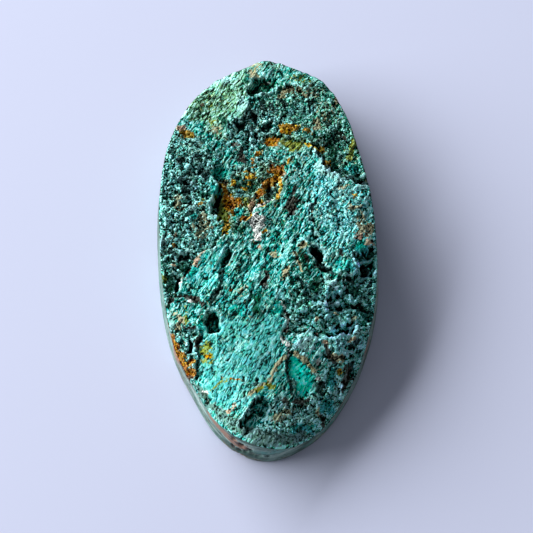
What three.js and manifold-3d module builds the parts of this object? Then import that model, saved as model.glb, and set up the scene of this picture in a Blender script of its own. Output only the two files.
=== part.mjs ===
// A slice of blue-green copper ore: an oval with ground walls and a ground base, and a broken top.
// Millimetres, +Z up, +Y along the long axis, origin at the middle of the ground base.
import * as THREE from 'three';
import { mergeVertices } from 'three/addons/utils/BufferGeometryUtils.js';
import { ImprovedNoise } from 'three/addons/math/ImprovedNoise.js';
import Module from 'manifold-3d';

// Driving dimensions
const halfWide = 12.3;
const halfLong = 22.3;
const draft = Math.tan(THREE.MathUtils.degToRad(5)); // the walls lean inwards
const baseChamfer = 0.35;
const topLimit = 8.2;
const columns = 40; // facets across the top
const rows = 72; // facets along the top

// Every 15 degrees anticlockwise from +X: how far the outline swells past a true ellipse
const swell = [-0.1, -0.2, -0.24, 0.2, 0.46, -0.22, 0.05, -0.3, 0.25, 0.6, 0.7, 0.3,
  -0.2, -0.35, -0.4, -0.65, -0.3, 0.05, 0.1, -0.1, -0.1, -0.1, 0, 0.05];
// and how high the ground wall stands before the broken top begins.
const wallTop = [6.4, 6.8, 6.6, 6.0, 5.6, 5.5, 5.4, 5.4, 5.7, 6.4, 6.9, 7.0,
  7.0, 6.0, 4.2, 4.4, 5.0, 6.4, 5.3, 3.0, 2.6, 3.3, 4.5, 5.5];

// Heights that the broken top passes near: x, y, z
const lie = [
  [-3, 18, 5.8], [2, 19, 5.3], [-7, 14, 6.5], [3, 16, 5.9], [6, 14, 5.9], [8, 11, 6.0],
  [-9, 8, 6.9], [-3, 11, 6.5], [1, 12, 6.5], [3, 8, 7.3], [7, 6, 7.4], [-4, 5, 6.5], [0, 5, 7.0],
  [9, 3, 7.3], [4, 3, 7.4], [-10, 2, 6.8], [-6, -2, 7.2], [-2, -2, 7.0], [3, -2, 7.4], [7, -3, 7.2],
  [-10, -5, 6.3], [-4, -7, 7.0], [1, -7, 7.3], [9, -6, 6.7], [-8, -11, 6.1], [-3, -12, 6.8],
  [2, -11, 7.1], [8, -11, 6.2], [4, -14, 6.3], [-6, -16, 6.3], [-3, -17, 6.2], [1, -16, 6.3],
  [8, -15, 5.0], [4, -19, 4.6], [0, -20, 4.9],
];
const lieReach = 3.2; // how far each height is felt

// Blocks that broke off higher or lower than what is round them
const blocks = [
  { name: 'plateau', lift: 0.6, outline: [[-9.6, -5], [-8.6, -3.4], [-7.2, -1.6], [-6, -0.6],
    [-4, 0.4], [-3.8, -0.8], [-4.8, -2], [-5.2, -5.6], [-7, -5.9], [-9.4, -5.8]] },
  { name: 'upper right floor', lift: -1.0, outline: [[5.6, 10.6], [6.3, 8.6], [7.8, 7.7], [9, 7.2],
    [12, 6.9], [14, 9], [12, 16], [8, 19], [7, 15], [6.2, 12.5]] },
  { name: 'right floor', lift: -0.9, outline: [[9.1, -1], [9.8, -1.3], [11, -0.2], [14, -0.3],
    [14, -9.5], [9.5, -9.2], [8.4, -10], [6, -10], [5.4, -9], [6.6, -7], [6, -5.4], [8.1, -5],
    [8, -3.8], [9.6, -3.4]] },
  { name: 'lower right block', lift: 0.5, outline: [[6.9, -10.4], [8.6, -10.1], [9.2, -9.5],
    [10.4, -9.4], [10.8, -11], [9.4, -12.2], [7.4, -12.3]] },
  { name: 'cleaved face', lift: -0.8, outline: [[2.1, -12], [3, -12], [4.9, -13.8], [5.2, -15],
    [4.2, -16.7], [3.3, -16.7], [2.3, -14.6]] },
  { name: 'rusty basin', lift: -0.7, outline: [[-5.3, 7], [-3.5, 7.1], [-1, 7.8], [1.2, 8.7],
    [1.1, 5.8], [-1.5, 3.4], [-3.2, 2.2], [-4.6, 1], [-5.2, 2.6], [-5.6, 4.5]] },
];
const blockEdge = 0.45; // width of the slope at a block's edge

// Pits and gaps: where, half sizes before turning, turn in degrees, depth
const pits = [
  { name: 'green pit', at: [-0.6, 18.5], half: [1.9, 1.1], turn: 20, depth: 1.2 },
  { name: 'top pits', at: [-2.2, 14], half: [1.4, 1.1], turn: 0, depth: 0.9 },
  { name: 'notch', at: [10.2, 7.5], half: [1.6, 0.6], turn: -8, depth: 1.5 },
  { name: 'crevice', at: [-5.6, 4.6], half: [0.7, 2.2], turn: -12, depth: 0.9 },
  { name: 'plateau foot', at: [-4.1, -2], half: [0.8, 1.8], turn: -35, depth: 1.1 },
  { name: 'upper hole', at: [5.1, -1.3], half: [0.9, 1.6], turn: 12, depth: 1.5 },
  { name: 'left hole', at: [-5.9, -8.8], half: [1.1, 1.4], turn: 8, depth: 1.9 },
  { name: 'right recess', at: [10.4, -2.4], half: [1, 1.2], turn: 0, depth: 1.1 },
  { name: 'left gap', at: [-8.2, -11.4], half: [0.7, 1.1], turn: -25, depth: 0.9 },
  { name: 'lower hollow', at: [-0.8, -18.2], half: [1.9, 2.5], turn: -20, depth: 1.5 },
  { name: 'lower right recess', at: [8.7, -15.3], half: [1, 1.9], turn: -25, depth: 1.0 },
];

// Uneven break: waves in the rock, longest first
const waves = [{ length: 3.4, size: 0.5 }, { length: 1.5, size: 0.35 }];
const noise = new ImprovedNoise();

// A closed smooth curve through values spaced evenly round the stone
function around(values, angle) {
  const place = ((angle / (2 * Math.PI)) * values.length + values.length) % values.length;
  const k = Math.floor(place);
  const t = place - k;
  const [a, b, c, d] = [-1, 0, 1, 2].map((step) => values[(k + step + values.length) % values.length]);
  return b + 0.5 * t * (c - a + t * (2 * a - 5 * b + 4 * c - d + t * (3 * (b - c) + d - a)));
}

// A point of the ground wall at this angle and height
function wallPoint(angle, z) {
  const onEllipse = new THREE.Vector2(halfWide * Math.cos(angle), halfLong * Math.sin(angle));
  const outwards = new THREE.Vector2(Math.cos(angle) / halfWide, Math.sin(angle) / halfLong).normalize();
  const chamfer = Math.max(0, baseChamfer - z);
  const inset = Math.max(z, 0) * draft + chamfer;
  return onEllipse.addScaledVector(outwards, around(swell, angle) - inset);
}

// Distance from a point to an outline's edge, positive inside it
function insideBy(x, y, outline) {
  let nearest = Infinity;
  let inside = false;
  outline.forEach(([x1, y1], k) => {
    const [x2, y2] = outline[(k + 1) % outline.length];
    const along = ((x - x1) * (x2 - x1) + (y - y1) * (y2 - y1)) / ((x2 - x1) ** 2 + (y2 - y1) ** 2);
    const t = THREE.MathUtils.clamp(along, 0, 1);
    nearest = Math.min(nearest, Math.hypot(x - x1 - t * (x2 - x1), y - y1 - t * (y2 - y1)));
    const crosses = y1 > y !== y2 > y && x < x1 + ((y - y1) / (y2 - y1)) * (x2 - x1);
    if (crosses) inside = !inside;
  });
  return inside ? nearest : -nearest;
}

function pitDepth(x, y, pit) {
  const turn = THREE.MathUtils.degToRad(pit.turn);
  const [dx, dy] = [x - pit.at[0], y - pit.at[1]];
  const across = (dx * Math.cos(turn) + dy * Math.sin(turn)) / pit.half[0];
  const along = (dy * Math.cos(turn) - dx * Math.sin(turn)) / pit.half[1];
  return pit.depth * (1 - THREE.MathUtils.smoothstep(Math.hypot(across, along), 0.35, 1.05));
}

// Height of the broken top, where "out" runs from 0 in the middle to 1 at the wall
function topHeight(x, y, out, angle) {
  let weight = 0;
  let sum = 0;
  for (const [px, py, pz] of lie) {
    const near = Math.exp(-((x - px) ** 2 + (y - py) ** 2) / (2 * lieReach ** 2));
    weight += near;
    sum += near * pz;
  }
  let z = THREE.MathUtils.lerp(sum / weight, around(wallTop, angle), out ** 6);
  for (const block of blocks) {
    z += block.lift * THREE.MathUtils.smoothstep(insideBy(x, y, block.outline), -blockEdge, blockEdge);
  }
  for (const pit of pits) z -= pitDepth(x, y, pit);
  for (const wave of waves) {
    z += wave.size * noise.noise(x / wave.length, y / wave.length, wave.length);
  }
  return Math.min(z, topLimit);
}

// The blank starts below the base and is then cut off flat. Its walls have this many steps.
const blankBottom = -1;
const wallSteps = 3;

function stepHeight(step, top) {
  return [blankBottom, baseChamfer, (baseChamfer + top) / 2, top][step];
}

// A box whose square top is drawn out to the oval, with its lid laid on the broken top
function blankGeometry() {
  const geometry = new THREE.BoxGeometry(2, 2, 1, columns, rows, wallSteps);
  const corner = geometry.attributes.position;
  for (let k = 0; k < corner.count; k++) {
    const [u, v] = [corner.getX(k), corner.getY(k)];
    const disc = new THREE.Vector2(u * Math.sqrt(1 - (v * v) / 2), v * Math.sqrt(1 - (u * u) / 2));
    const angle = disc.angle();
    const out = disc.length();
    const lid = wallPoint(angle, around(wallTop, angle)).multiplyScalar(out);
    const top = topHeight(lid.x, lid.y, out, angle);
    const step = Math.round((corner.getZ(k) + 0.5) * wallSteps);
    const z = stepHeight(step, top);
    const place = step === wallSteps ? lid : wallPoint(angle, z).multiplyScalar(out);
    corner.setXYZ(k, place.x, place.y, z);
  }
  geometry.deleteAttribute('normal');
  geometry.deleteAttribute('uv');
  return mergeVertices(geometry, 1e-4);
}

const wasm = await Module();
wasm.setup();

function toSolid(geometry) {
  const vertProperties = new Float32Array(geometry.attributes.position.array);
  const triVerts = new Uint32Array(geometry.index.array);
  return new wasm.Manifold(new wasm.Mesh({ numProp: 3, vertProperties, triVerts }));
}

function toGeometry(solid) {
  const mesh = solid.getMesh();
  const geometry = new THREE.BufferGeometry();
  geometry.setAttribute('position', new THREE.BufferAttribute(new Float32Array(mesh.vertProperties), 3));
  geometry.setIndex(new THREE.BufferAttribute(new Uint32Array(mesh.triVerts), 1));
  return geometry;
}

function stoneGeometry() {
  const cutterSize = 4 * halfLong;
  const cutter = new THREE.BoxGeometry(cutterSize, cutterSize, cutterSize);
  cutter.translate(0, 0, -cutterSize / 2);
  cutter.deleteAttribute('normal');
  cutter.deleteAttribute('uv');
  const geometry = toGeometry(toSolid(blankGeometry()).subtract(toSolid(mergeVertices(cutter))));
  geometry.computeBoundingBox();
  const middle = geometry.boundingBox.getCenter(new THREE.Vector3());
  geometry.translate(-middle.x, -middle.y, 0);
  geometry.computeVertexNormals();
  return geometry;
}

const stone = new THREE.Mesh(
  stoneGeometry(),
  new THREE.MeshStandardMaterial({ color: 0x46786f, roughness: 0.85, metalness: 0, flatShading: true }),
);
stone.name = 'stone';

const specimen = new THREE.Group();
specimen.add(stone);
export default specimen;
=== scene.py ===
import itertools
import math

import bmesh
import bpy
import numpy as np
from mathutils import Matrix, Vector


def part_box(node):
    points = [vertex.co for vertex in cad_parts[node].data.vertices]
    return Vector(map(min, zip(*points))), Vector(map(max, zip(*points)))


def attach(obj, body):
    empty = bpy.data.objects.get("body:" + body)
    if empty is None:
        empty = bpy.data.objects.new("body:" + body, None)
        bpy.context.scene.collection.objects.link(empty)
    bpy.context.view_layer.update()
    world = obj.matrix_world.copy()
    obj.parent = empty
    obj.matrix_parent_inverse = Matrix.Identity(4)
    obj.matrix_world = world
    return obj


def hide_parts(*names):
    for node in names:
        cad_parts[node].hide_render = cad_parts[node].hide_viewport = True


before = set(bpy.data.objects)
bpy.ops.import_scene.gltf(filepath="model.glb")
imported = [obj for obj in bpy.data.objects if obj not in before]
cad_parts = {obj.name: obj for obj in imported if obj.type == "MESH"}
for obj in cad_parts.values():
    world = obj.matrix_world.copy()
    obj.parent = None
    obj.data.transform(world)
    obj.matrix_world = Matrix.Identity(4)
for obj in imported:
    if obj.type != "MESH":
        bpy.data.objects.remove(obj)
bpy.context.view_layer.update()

mm = 0.001
boxLow, boxHigh = (np.array(corner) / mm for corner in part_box("stone"))
print("frame: stone box in mm", (boxHigh - boxLow).round(2).tolist())

view = {
    "place": (-1.1, -59.25, 178.9),  # mm, looking down on the stone from its lower end
    "aim": (-0.1, -0.45, 0.0),
    "roll": -0.2,  # degrees
    "lens": 115.5,
    "sensor": 36.0,
    "clipStart": 0.01,  # m
}


def makeCamera():
    data = bpy.data.cameras.new("camera")
    data.sensor_width = view["sensor"]
    data.lens = view["lens"]
    data.clip_start = view["clipStart"]
    camera = bpy.data.objects.new("camera", data)
    bpy.context.scene.collection.objects.link(camera)
    place = Vector(view["place"]) * mm
    back = (place - Vector(view["aim"]) * mm).normalized()
    right = Vector((0, 1, 0)).cross(back).normalized()
    turned = Matrix((right, back.cross(right), back)).transposed()
    turned = turned @ Matrix.Rotation(math.radians(view["roll"]), 3, "Z")
    camera.matrix_world = Matrix.Translation(place) @ turned.to_4x4()
    bpy.context.scene.camera = camera


makeCamera()
print("camera: made")

# What shapes the stone, in mm. Its break is a sheet over the oval, its wall and base are ground.
stone = {
    "acrossCells": 200,
    "alongCells": 360,
    "wallRows": 18,
    "baseRings": (0.97, 0.7, 0.7, 0.7),  # each ring of the base against the one outside it
    "halfWide": 12.3,
    "halfLong": 22.3,
    "draft": math.tan(math.radians(5)),
    "baseChamfer": 0.35,
    # every 15 degrees anticlockwise from +X: swell past a true ellipse, and height of the ground wall
    "swell": (-0.1, -0.2, -0.24, 0.2, 0.46, -0.22, 0.05, -0.3, 0.25, 0.6, 0.7, 0.3,
              -0.2, -0.35, -0.4, -0.65, -0.3, 0.05, 0.1, -0.1, -0.1, -0.1, 0, 0.05),
    "wallTop": (6.4, 6.8, 6.6, 6.0, 5.6, 5.5, 5.4, 5.4, 5.7, 6.4, 6.9, 7.0,
                7.0, 6.0, 4.2, 4.4, 5.0, 6.4, 5.3, 3.0, 2.6, 3.3, 4.5, 5.5),
    "lieReach": 3.2,
    "cellSize": 0.12,  # about
    "planLevel": 6.0,  # the tables below place things as the camera's lean shows them at this height,
    "slant": 0.33,  # shifted by this for each mm above or below it
    "bulge": 6,  # how late the lie of the break turns towards the wall's top
    "roofGap": 0.03,
    "roofSoft": 0.5,
    "rimChips": 0.5,
    "chipsRise": 0.9,
    "rimCalm": 0.6,  # share of the roughness that the rim has lost
    "rimWear": 0.2,
    # shares of the way out from the middle between which those three set in
    "chipsEdge": (0.9, 1),
    "calmEdge": (0.94, 1),
    "wearEdge": (0.985, 1),
    "fineReach": 0.25,  # the height above the mean within this shows what stands up and what lies in a gap
    "fineInset": 0.5,  # and this share of what the wall stands in
}

# Heights that the break passes near: x, y, z
lie = (
    (-3, 18, 5.8), (2, 19, 5.3), (-7, 14, 6.5), (3, 16, 5.9), (6, 14, 5.9), (8, 11, 6.0),
    (-9, 8, 6.9), (-3, 11, 6.5), (1, 12, 6.5), (3, 8, 7.3), (7, 6, 7.4), (-4, 5, 6.5), (0, 5, 7.0),
    (9, 3, 7.3), (4, 3, 7.4), (-10, 2, 6.8), (-6, -2, 7.2), (-2, -2, 7.0), (3, -2, 7.4), (7, -3, 7.2),
    (-10, -5, 6.3), (-4, -7, 6.9), (1, -7, 7.3), (9, -6, 6.9), (-8, -11, 6.3), (-3, -12, 6.6),
    (2, -11, 7.1), (8, -11, 6.4), (4, -14, 6.3), (-6, -16, 6.3), (-3, -17, 6.2), (1, -16, 6.3),
    (8, -15, 5.4), (4, -19, 5.3), (0, -20, 5.4),
)

# Ledges where the rock broke in steps: drop, reach of the low side, line with the low side on its left
ledges = {
    "plateauEdge": (0.55, 1.4, ((-10.4, -5.6), (-9.6, -4.6), (-8.6, -3), (-7.2, -1.2), (-6, -0.2),
        (-4.6, 0.7), (-3.4, 1.4))),
    "plateauBack": (0.2, 0.8, ((-3.7, 1), (-4.4, -0.8), (-5, -2.6), (-5.2, -4.8), (-6.2, -6.4))),
    "upperRight": (1.3, 4, ((4.8, 12.2), (5.6, 10.2), (6.2, 8.9), (7.6, 8), (9, 7.6), (11, 7.2),
        (13, 6.8))),
    "rightFloor": (0.9, 1.6, ((13.5, 0.4), (11, -0.3), (9.8, -1.4), (9.3, -1.2), (9.7, -2.5), (9.1, -3.4),
        (8, -3.5), (7.8, -5.3), (6.3, -5.7), (6.2, -7.2), (5.2, -8.6))),
    "blockTop": (0.9, 1.4, ((5.6, -9.9), (7, -10.1), (8.5, -9.8), (9.2, -9.2), (10.4, -9.1), (11.8, -9.6))),
    "blockFoot": (0.6, 1.6, ((11, -10.8), (9.6, -11.8), (8.2, -12.4), (7, -12.2), (6.4, -11.2))),
    "cleavedLeft": (0.3, 2.2, ((1.9, -10.8), (2, -12.2), (2.1, -14.2), (2.7, -15.6), (3.4, -17.2))),
    "cleavedRight": (0.25, 1, ((5.4, -15.4), (5.2, -14.4), (4.2, -13.4), (3, -12.4), (2.2, -11.7))),
    "cleavedFoot": (0.25, 0.8, ((2.6, -17.2), (3.8, -17.3), (4.9, -16.2), (5.8, -15.2))),
    "middleBlock": (0.5, 1, ((2.1, -10.2), (3.6, -9.7), (4.8, -9.8), (5.9, -10.6))),
    "sageEdge": (0.25, 1.3, ((-2, 19.6), (-1.9, 17), (-2.2, 15.4), (-4, 14.2), (-4.4, 12.2))),
    "topRidge": (0.4, 1.6, ((4.6, 16.8), (3.2, 18.1), (1.8, 18.6), (0.6, 17.5), (-1.2, 16.8))),
    "basinLeft": (1, 2, ((-5.2, 7.8), (-5.5, 5.6), (-5.4, 3.7), (-4.9, 2.2))),
    "basinRight": (0.55, 1.5, ((-4.4, 1), (-3, 2.3), (-1.6, 3.7), (-0.6, 4.9), (1.1, 5.7), (1.2, 7.4),
        (1.9, 8.8))),
    "rustShelf": (0.4, 1, ((5.8, 11.2), (4.3, 11.9), (2.6, 12.3), (1.2, 12.6), (-0.6, 12.5))),
    "holeRim": (0.5, 0.9, ((6.9, -3.2), (6.1, -2.4), (5.7, -1), (5.4, 0.3), (5, 2))),
    "leftBlock": (0.5, 1.2, ((-11, -7), (-9.6, -5.9), (-8.2, -5.8), (-6.9, -6.5))),
    "hollowLeft": (1, 2.4, ((-0.4, -16.4), (-0.9, -17), (-1.6, -17.7), (-2.2, -18.5), (-2.8, -19.8),
        (-2.4, -21))),
    "lowerLeftEdge": (0.5, 1.4, ((-6.6, -9.4), (-7.4, -10.9), (-7.5, -12.8), (-7.9, -15.2))),
    "flankFoldA": (0.15, 0.8, ((-1.6, -0.6), (-2.4, -2.6), (-3.6, -4.2), (-4.6, -6.2))),
    "flankFoldB": (0.2, 0.8, ((1, 0.9), (-0.2, -1.6), (-1, -4), (-2, -6), (-3.4, -8.6))),
}

# Cracks: depth, width, line
cracks = {
    "crest": (0.5, 0.16, ((1, -5.8), (1.6, -7), (2, -8.2), (2.1, -9.6), (2, -11))),
    "paleEdge": (0.4, 0.14, ((4.9, 5.5), (4.8, 4.1), (4.5, 2.9), (4.9, 1.9), (4.9, 0.7))),
    "hole": (0.7, 0.2, ((4.9, -1), (5.6, -2.1), (6.3, -2.8), (7, -3.2))),
    "plateau": (0.35, 0.12, ((-4.6, -2.8), (-4.9, -4.2), (-5.4, -5.6), (-6.2, -6.8))),
    "left": (0.4, 0.16, ((-9.8, -2.8), (-9.7, -4), (-9.9, -5.2))),
    "plum": (0.3, 0.14, ((3.2, 6.1), (2.4, 4.5), (2.1, 3.1), (1.6, 1.9))),
    "ring": (0.5, 0.14, ((3.2, 1.1), (3.1, -0.1), (3, -1.3), (3.4, -2.7))),
    "middle": (0.35, 0.14, ((-0.5, -3.9), (-0.2, -4.9), (0.2, -5.7))),
    "underLip": (0.5, 0.2, ((6.4, 8.7), (7.6, 7.9), (8.8, 7.4))),
    "lowRight": (0.5, 0.18, ((5.3, -19.2), (6, -19.9), (6.4, -20.6))),
}

# Pits and gaps: x, y, half width, half length, turn in degrees, depth
pits = {
    "greenPit": (-0.4, 18.6, 1.9, 1.1, 25, 0.7),
    "topPitD": (-1.2, 12.4, 0.4, 0.5, 0, 0.7),
    "bead": (0.5, 6.3, 0.8, 0.8, 0, 0.8),
    "rightGapA": (7.8, -6.6, 0.9, 0.4, 20, 0.9),
    "rightGapB": (8.2, -9.1, 1.3, 0.4, 10, 0.9),
    "leftPitA": (-8.8, 7.1, 0.4, 0.5, 0, 0.9),
    "leftPitB": (-7.3, 8.4, 0.6, 0.5, 0, 0.8),
    "leftPitC": (-9.6, -4.2, 0.35, 1.1, 0, 0.8),
    "leftPitD": (-9.2, -1.5, 1, 0.35, 0, 0.7),
    "wormA": (-1.1, -14.9, 0.22, 0.22, 0, 0.9),
    "wormB": (-2.5, -14.7, 0.16, 0.14, 0, 0.7),
    "lowerRightRecess": (8.6, -15.2, 0.8, 1.7, -25, 1.1),
    "ringHollow": (3.8, 0.2, 0.35, 0.35, 0, 0.35),
    "brownHollow": (-0.2, -3.8, 0.45, 0.3, 40, 0.6),
}

# Holes with steep sides and a rough floor: depth, width of the side, outline
holes = {
    "leftHole": (1.5, 0.22, ((-6.3, -7.5), (-5.6, -7.4), (-5.2, -7.8), (-5.25, -8.5), (-5, -9.1),
        (-5.2, -9.6), (-6.3, -9.7), (-6.4, -9.1), (-6.7, -8.5), (-6.5, -8.1))),
    "plateauFoot": (1.2, 0.2, ((-4.2, -0.4), (-3.8, -0.8), (-4.2, -1.9), (-4.9, -2.4), (-5.05, -1.9),
        (-4.6, -1.1))),
    "upperHole": (1.7, 0.15, ((4.8, -0.1), (5.3, -0.1), (5.7, -0.9), (5.9, -1.9), (5.5, -1.8), (5, -1.4),
        (4.5, -0.9))),
    "notch": (1.7, 0.15, ((8.8, 7.8), (10.8, 8.1), (13, 7.7), (13, 6.5), (10.6, 6.8), (9.5, 6.9))),
    "rightRecess": (1.5, 0.2, ((9.8, -1.9), (11.2, -1.6), (11.5, -2.6), (10.9, -3.4), (9.9, -3.3))),
    "leftGap": (1.2, 0.15, ((-8.3, -10.5), (-7.9, -10.8), (-8, -11.9), (-8.5, -12), (-8.3, -11.3))),
    "crevice": (1.3, 0.15, ((-5.1, 7.1), (-5.05, 6), (-5.2, 4.8), (-5.7, 3.3), (-6, 3.5), (-5.9, 4.8),
        (-5.5, 6))),
    "tealHollow": (0.6, 0.3, ((-5.6, 9.1), (-4.8, 9.3), (-4.3, 8.4), (-4.6, 7.4), (-5.3, 7.2), (-5.9, 8))),
    "topPitA": (0.5, 0.25, ((-3.6, 14.2), (-3, 14.1), (-2.4, 14.4), (-2.6, 13.6), (-2.1, 13.1),
        (-2.9, 13.3), (-3.3, 13))),
    "topPitB": (0.5, 0.25, ((-0.9, 13.7), (-0.1, 13.7), (0.5, 14.2), (0.5, 13.5), (0, 13), (-0.6, 13.2))),
    "topPitC": (0.5, 0.2, ((-1.5, 15.3), (-1, 15.2), (-0.9, 14.3), (-1.3, 13.6), (-1.5, 14.4))),
    "rightCleft": (0.7, 0.15, ((8.2, -6.2), (9.6, -6.3), (11.4, -7.3), (11.2, -7.8), (9.4, -7),
        (8.2, -6.8))),
    "underBlock": (0.8, 0.15, ((6, -9.7), (7.4, -9.3), (9, -8.9), (9.2, -9.4), (8.2, -9.9), (6.3, -10.3))),
    "middleGap": (0.5, 0.15, ((6.3, -6.7), (7.9, -6.5), (8, -7.1), (6.9, -7.3), (6.3, -7.1))),
}

# Zones broken into loose crumbs: how rough, outline
crumbZones = {
    "left": (1, ((-13, 12.4), (-9, 13), (-7.4, 12.5), (-6, 9.8), (-6.1, 6.3), (-5.8, 2.4), (-5.6, 0.6),
        (-7.2, -0.8), (-8.7, -2.8), (-9.8, -4.8), (-10.5, -6.2), (-13, -7))),
    "top": (1, ((-4.4, 15.2), (-2.6, 15.6), (-1, 16.8), (2, 17), (4, 15), (3.6, 13.2), (0, 12.8),
        (-1.4, 10.8), (-3, 9.6), (-4.8, 11.7))),
    "basin": (0.7, ((-5.2, 7.6), (-3, 9.6), (0.5, 10.7), (2.2, 9.2), (1.1, 6.1), (-1.6, 3.8), (-4.2, 1.3),
        (-5.4, 3.2))),
    "upperRight": (0.9, ((2, 17.4), (4, 19.2), (7, 18.6), (10, 14), (12, 7.4), (9, 7.6), (7.6, 8.2),
        (6.2, 9.2), (5.4, 11.6), (3.4, 13.2))),
    "right": (1, ((9.1, -1), (9.8, -1.2), (11, 0), (14, 0), (14, -17), (7.5, -17), (7.3, -12.4),
        (6.2, -9.9), (2.4, -9.4), (2, -6.6), (3.4, -4.6), (6.2, -5), (8.1, -4.4), (8, -3.4))),
    "bottom": (0.8, ((0.6, -17.2), (3.3, -17), (5.2, -16.6), (7.2, -13), (9.6, -13), (9, -19), (4, -23),
        (-2, -23), (-1.4, -20.6), (1, -19.4))),
    "lowerLeft": (0.9, ((-10.4, -9.6), (-8.2, -8.8), (-6.8, -9.2), (-6.8, -11.5), (-7.6, -15.2),
        (-9.6, -15))),
    "crust": (0.7, ((-2, 0.4), (-2.1, 2.4), (-1.6, 3.7), (-0.6, 3.6), (-0.1, 2.2), (-0.5, 0.4))),
    "pale": (0.35, ((5, 9.1), (7, 8.1), (10, 7.1), (12, 4.2), (12.5, 0), (9.4, 0.8), (6, 0.5), (5, 2.5))),
}

# Zones broken into blocks with deep gaps between them: how deep, outline
blockZones = {
    "right": (0.55, ((6.2, -2.6), (8, -3.4), (9.2, -1), (13, -0.6), (13, -9.4), (9.2, -9.2), (6, -9.8),
        (3, -9.2), (2.4, -7), (4, -5))),
    "lower": (0.5, ((6, -13.2), (9.4, -12.6), (12, -12), (9, -19), (4, -22), (0.6, -21), (2.4, -17.6),
        (5.4, -16.6))),
    "topPits": (0.3, ((-3.6, 14.6), (-1, 15.6), (1.4, 14.6), (1, 12.6), (-1.6, 11.6), (-3.4, 12.4))),
    "left": (0.4, ((-12, 9), (-8, 9.6), (-6.6, 7), (-6.6, 2), (-7.6, -1), (-9, -3), (-12, -4))),
}

# Zones that broke almost smooth: how smooth, outline
smoothZones = {
    "sage": (0.5, ((-9.6, 13.8), (-8.6, 16.6), (-5, 20.4), (-1, 22), (-1.9, 17.2), (-2.4, 15.4),
        (-4.4, 14.2), (-4.4, 12.2), (-6, 11.8))),
    "cleaved": (0.95, ((2.1, -12.2), (2.7, -12.5), (4.2, -13.6), (5.1, -14.6), (5, -15.6), (4.1, -17.1),
        (3.5, -17.1), (2.8, -15.5), (2.2, -14.2))),
    "plateau": (0.5, ((-9.4, -4.5), (-8.4, -2.9), (-7.2, -1.5), (-5, 0.2), (-4.6, -1), (-5, -4.8),
        (-7.4, -5.4), (-9.2, -5.4))),
    "low": (0.75, ((-7, -10), (-4.6, -8.4), (-1.6, -8.4), (1.6, -7.6), (1.9, -11), (1.8, -15.6),
        (-0.6, -16.6), (-4, -19), (-7.4, -15.6))),
    "wornRim": (0.8, ((-6, -18), (-4.6, -18.6), (-3.2, -19.6), (-1.6, -20.6), (0.6, -21.3), (2.6, -21.6),
        (2, -23), (-3, -23), (-6.6, -19.4))),
    "flank": (0.3, ((-4, -1), (0, 0.5), (4.6, 4), (4.8, 0), (2.6, -1), (1.4, -7), (-4.6, -8), (-5, -5))),
    "hollow": (0.6, ((-0.9, -17.2), (-0.3, -18), (0, -18.7), (0, -19.5), (-0.6, -20), (-1.7, -20.3),
        (-2.4, -19.4), (-2.1, -18.4))),
    "tealBlock": (0.7, ((9.2, 0.9), (10.8, 1.2), (11, 0.2), (9.8, -1), (9.2, -0.3))),
    "leftBlock": (0.5, ((-10.6, -6.8), (-7.4, -6.8), (-7, -8.8), (-10.4, -9.2))),
}

# Seeded tables that the random patterns below draw from
dice = np.random.default_rng(seed=11)
tableSize = 256
layerSeeds = 31  # from the seed of one layer of a pattern to that of the next
waveGain = 1.7  # brings waves to about -1 to 1
farAway = 9.0  # cells, past any centre that counts
shuffle = dice.permutation(tableSize)
arrows = dice.normal(size=(tableSize, 3))
arrows /= np.linalg.norm(arrows, axis=1)[:, None]
throws = dice.random((tableSize, 3))


def deal(cell, seed):
    # a repeatable place in those tables for each cell of a lattice
    place = np.full(len(cell), seed)
    for part in cell.T:
        place = shuffle[(place + part) % tableSize]
    return place


def rise(value, low, high):
    t = np.clip((value - low) / (high - low), 0, 1)
    return t * t * (3 - 2 * t)


def waves(points, length, seed):
    # smooth random waves this many mm long, from about -1 to 1
    scaled = points / length
    cell = np.floor(scaled).astype(int)
    total = np.zeros(len(points))
    for step in itertools.product((0, 1), repeat=3):
        away = scaled - cell - step
        fade = rise(1 - np.abs(away), 0, 1).prod(axis=1)
        total += fade * (arrows[deal(cell + step, seed)] * away).sum(axis=1)
    return waveGain * total


def broken(points, length, seed, layers, fade=0.55):
    # waves on waves, each half as long as the last
    return sum(waves(points, length / 2 ** k, seed + layerSeeds * k) * fade ** k for k in range(layers))


def ridged(points, length, seed, layers, fade=0.6):
    # the same folded into sharp crests, from about -1 to 1
    folded = (1 - 3 * np.abs(waves(points, length / 2 ** k, seed + layerSeeds * k)) for k in range(layers))
    return sum(fold * fade ** k for k, fold in enumerate(folded))


def crumbs(points, length, seed):
    # distances to the nearest and second nearest of scattered centres, and the way to the nearest
    scaled = points / length
    cell = np.floor(scaled).astype(int)
    near = np.full(len(points), farAway)
    second = near
    way = np.zeros((len(points), 3))
    number = np.zeros(len(points), int)
    for step in itertools.product((-1, 0, 1), repeat=3):
        place = deal(cell + step, seed)
        away = scaled - cell - step - throws[place]
        distance = np.linalg.norm(away, axis=1)
        closer = distance < near
        second = np.where(closer, near, np.minimum(second, distance))
        near = np.where(closer, distance, near)
        way = np.where(closer[:, None], away, way)
        number = np.where(closer, place, number)
    return near, second, way, number


def chips(points, length, seed):
    # flat faces at random tilts, as stone breaks, from about -1 to 1
    near, second, way, number = crumbs(points, length, seed)
    return (way * arrows[number]).sum(axis=1) + throws[number][:, 0] - 0.5


def draw(kind, points, row):
    # a pattern that a table gives as a row: strength, size in mm, seed and layers, if it has any
    strength, size, *rest = row
    return strength * kind(points, size, *rest)


def around(values, angle):
    # a closed smooth curve through values spaced evenly round the stone
    values = np.array(values)
    place = np.mod(angle / (2 * math.pi) * len(values), len(values))
    k = np.floor(place).astype(int)
    t = place - k
    a, b, c, d = (values[(k + step) % len(values)] for step in (-1, 0, 1, 2))
    return b + 0.5 * t * (c - a + t * (2 * a - 5 * b + 4 * c - d + t * (3 * (b - c) + d - a)))


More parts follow.
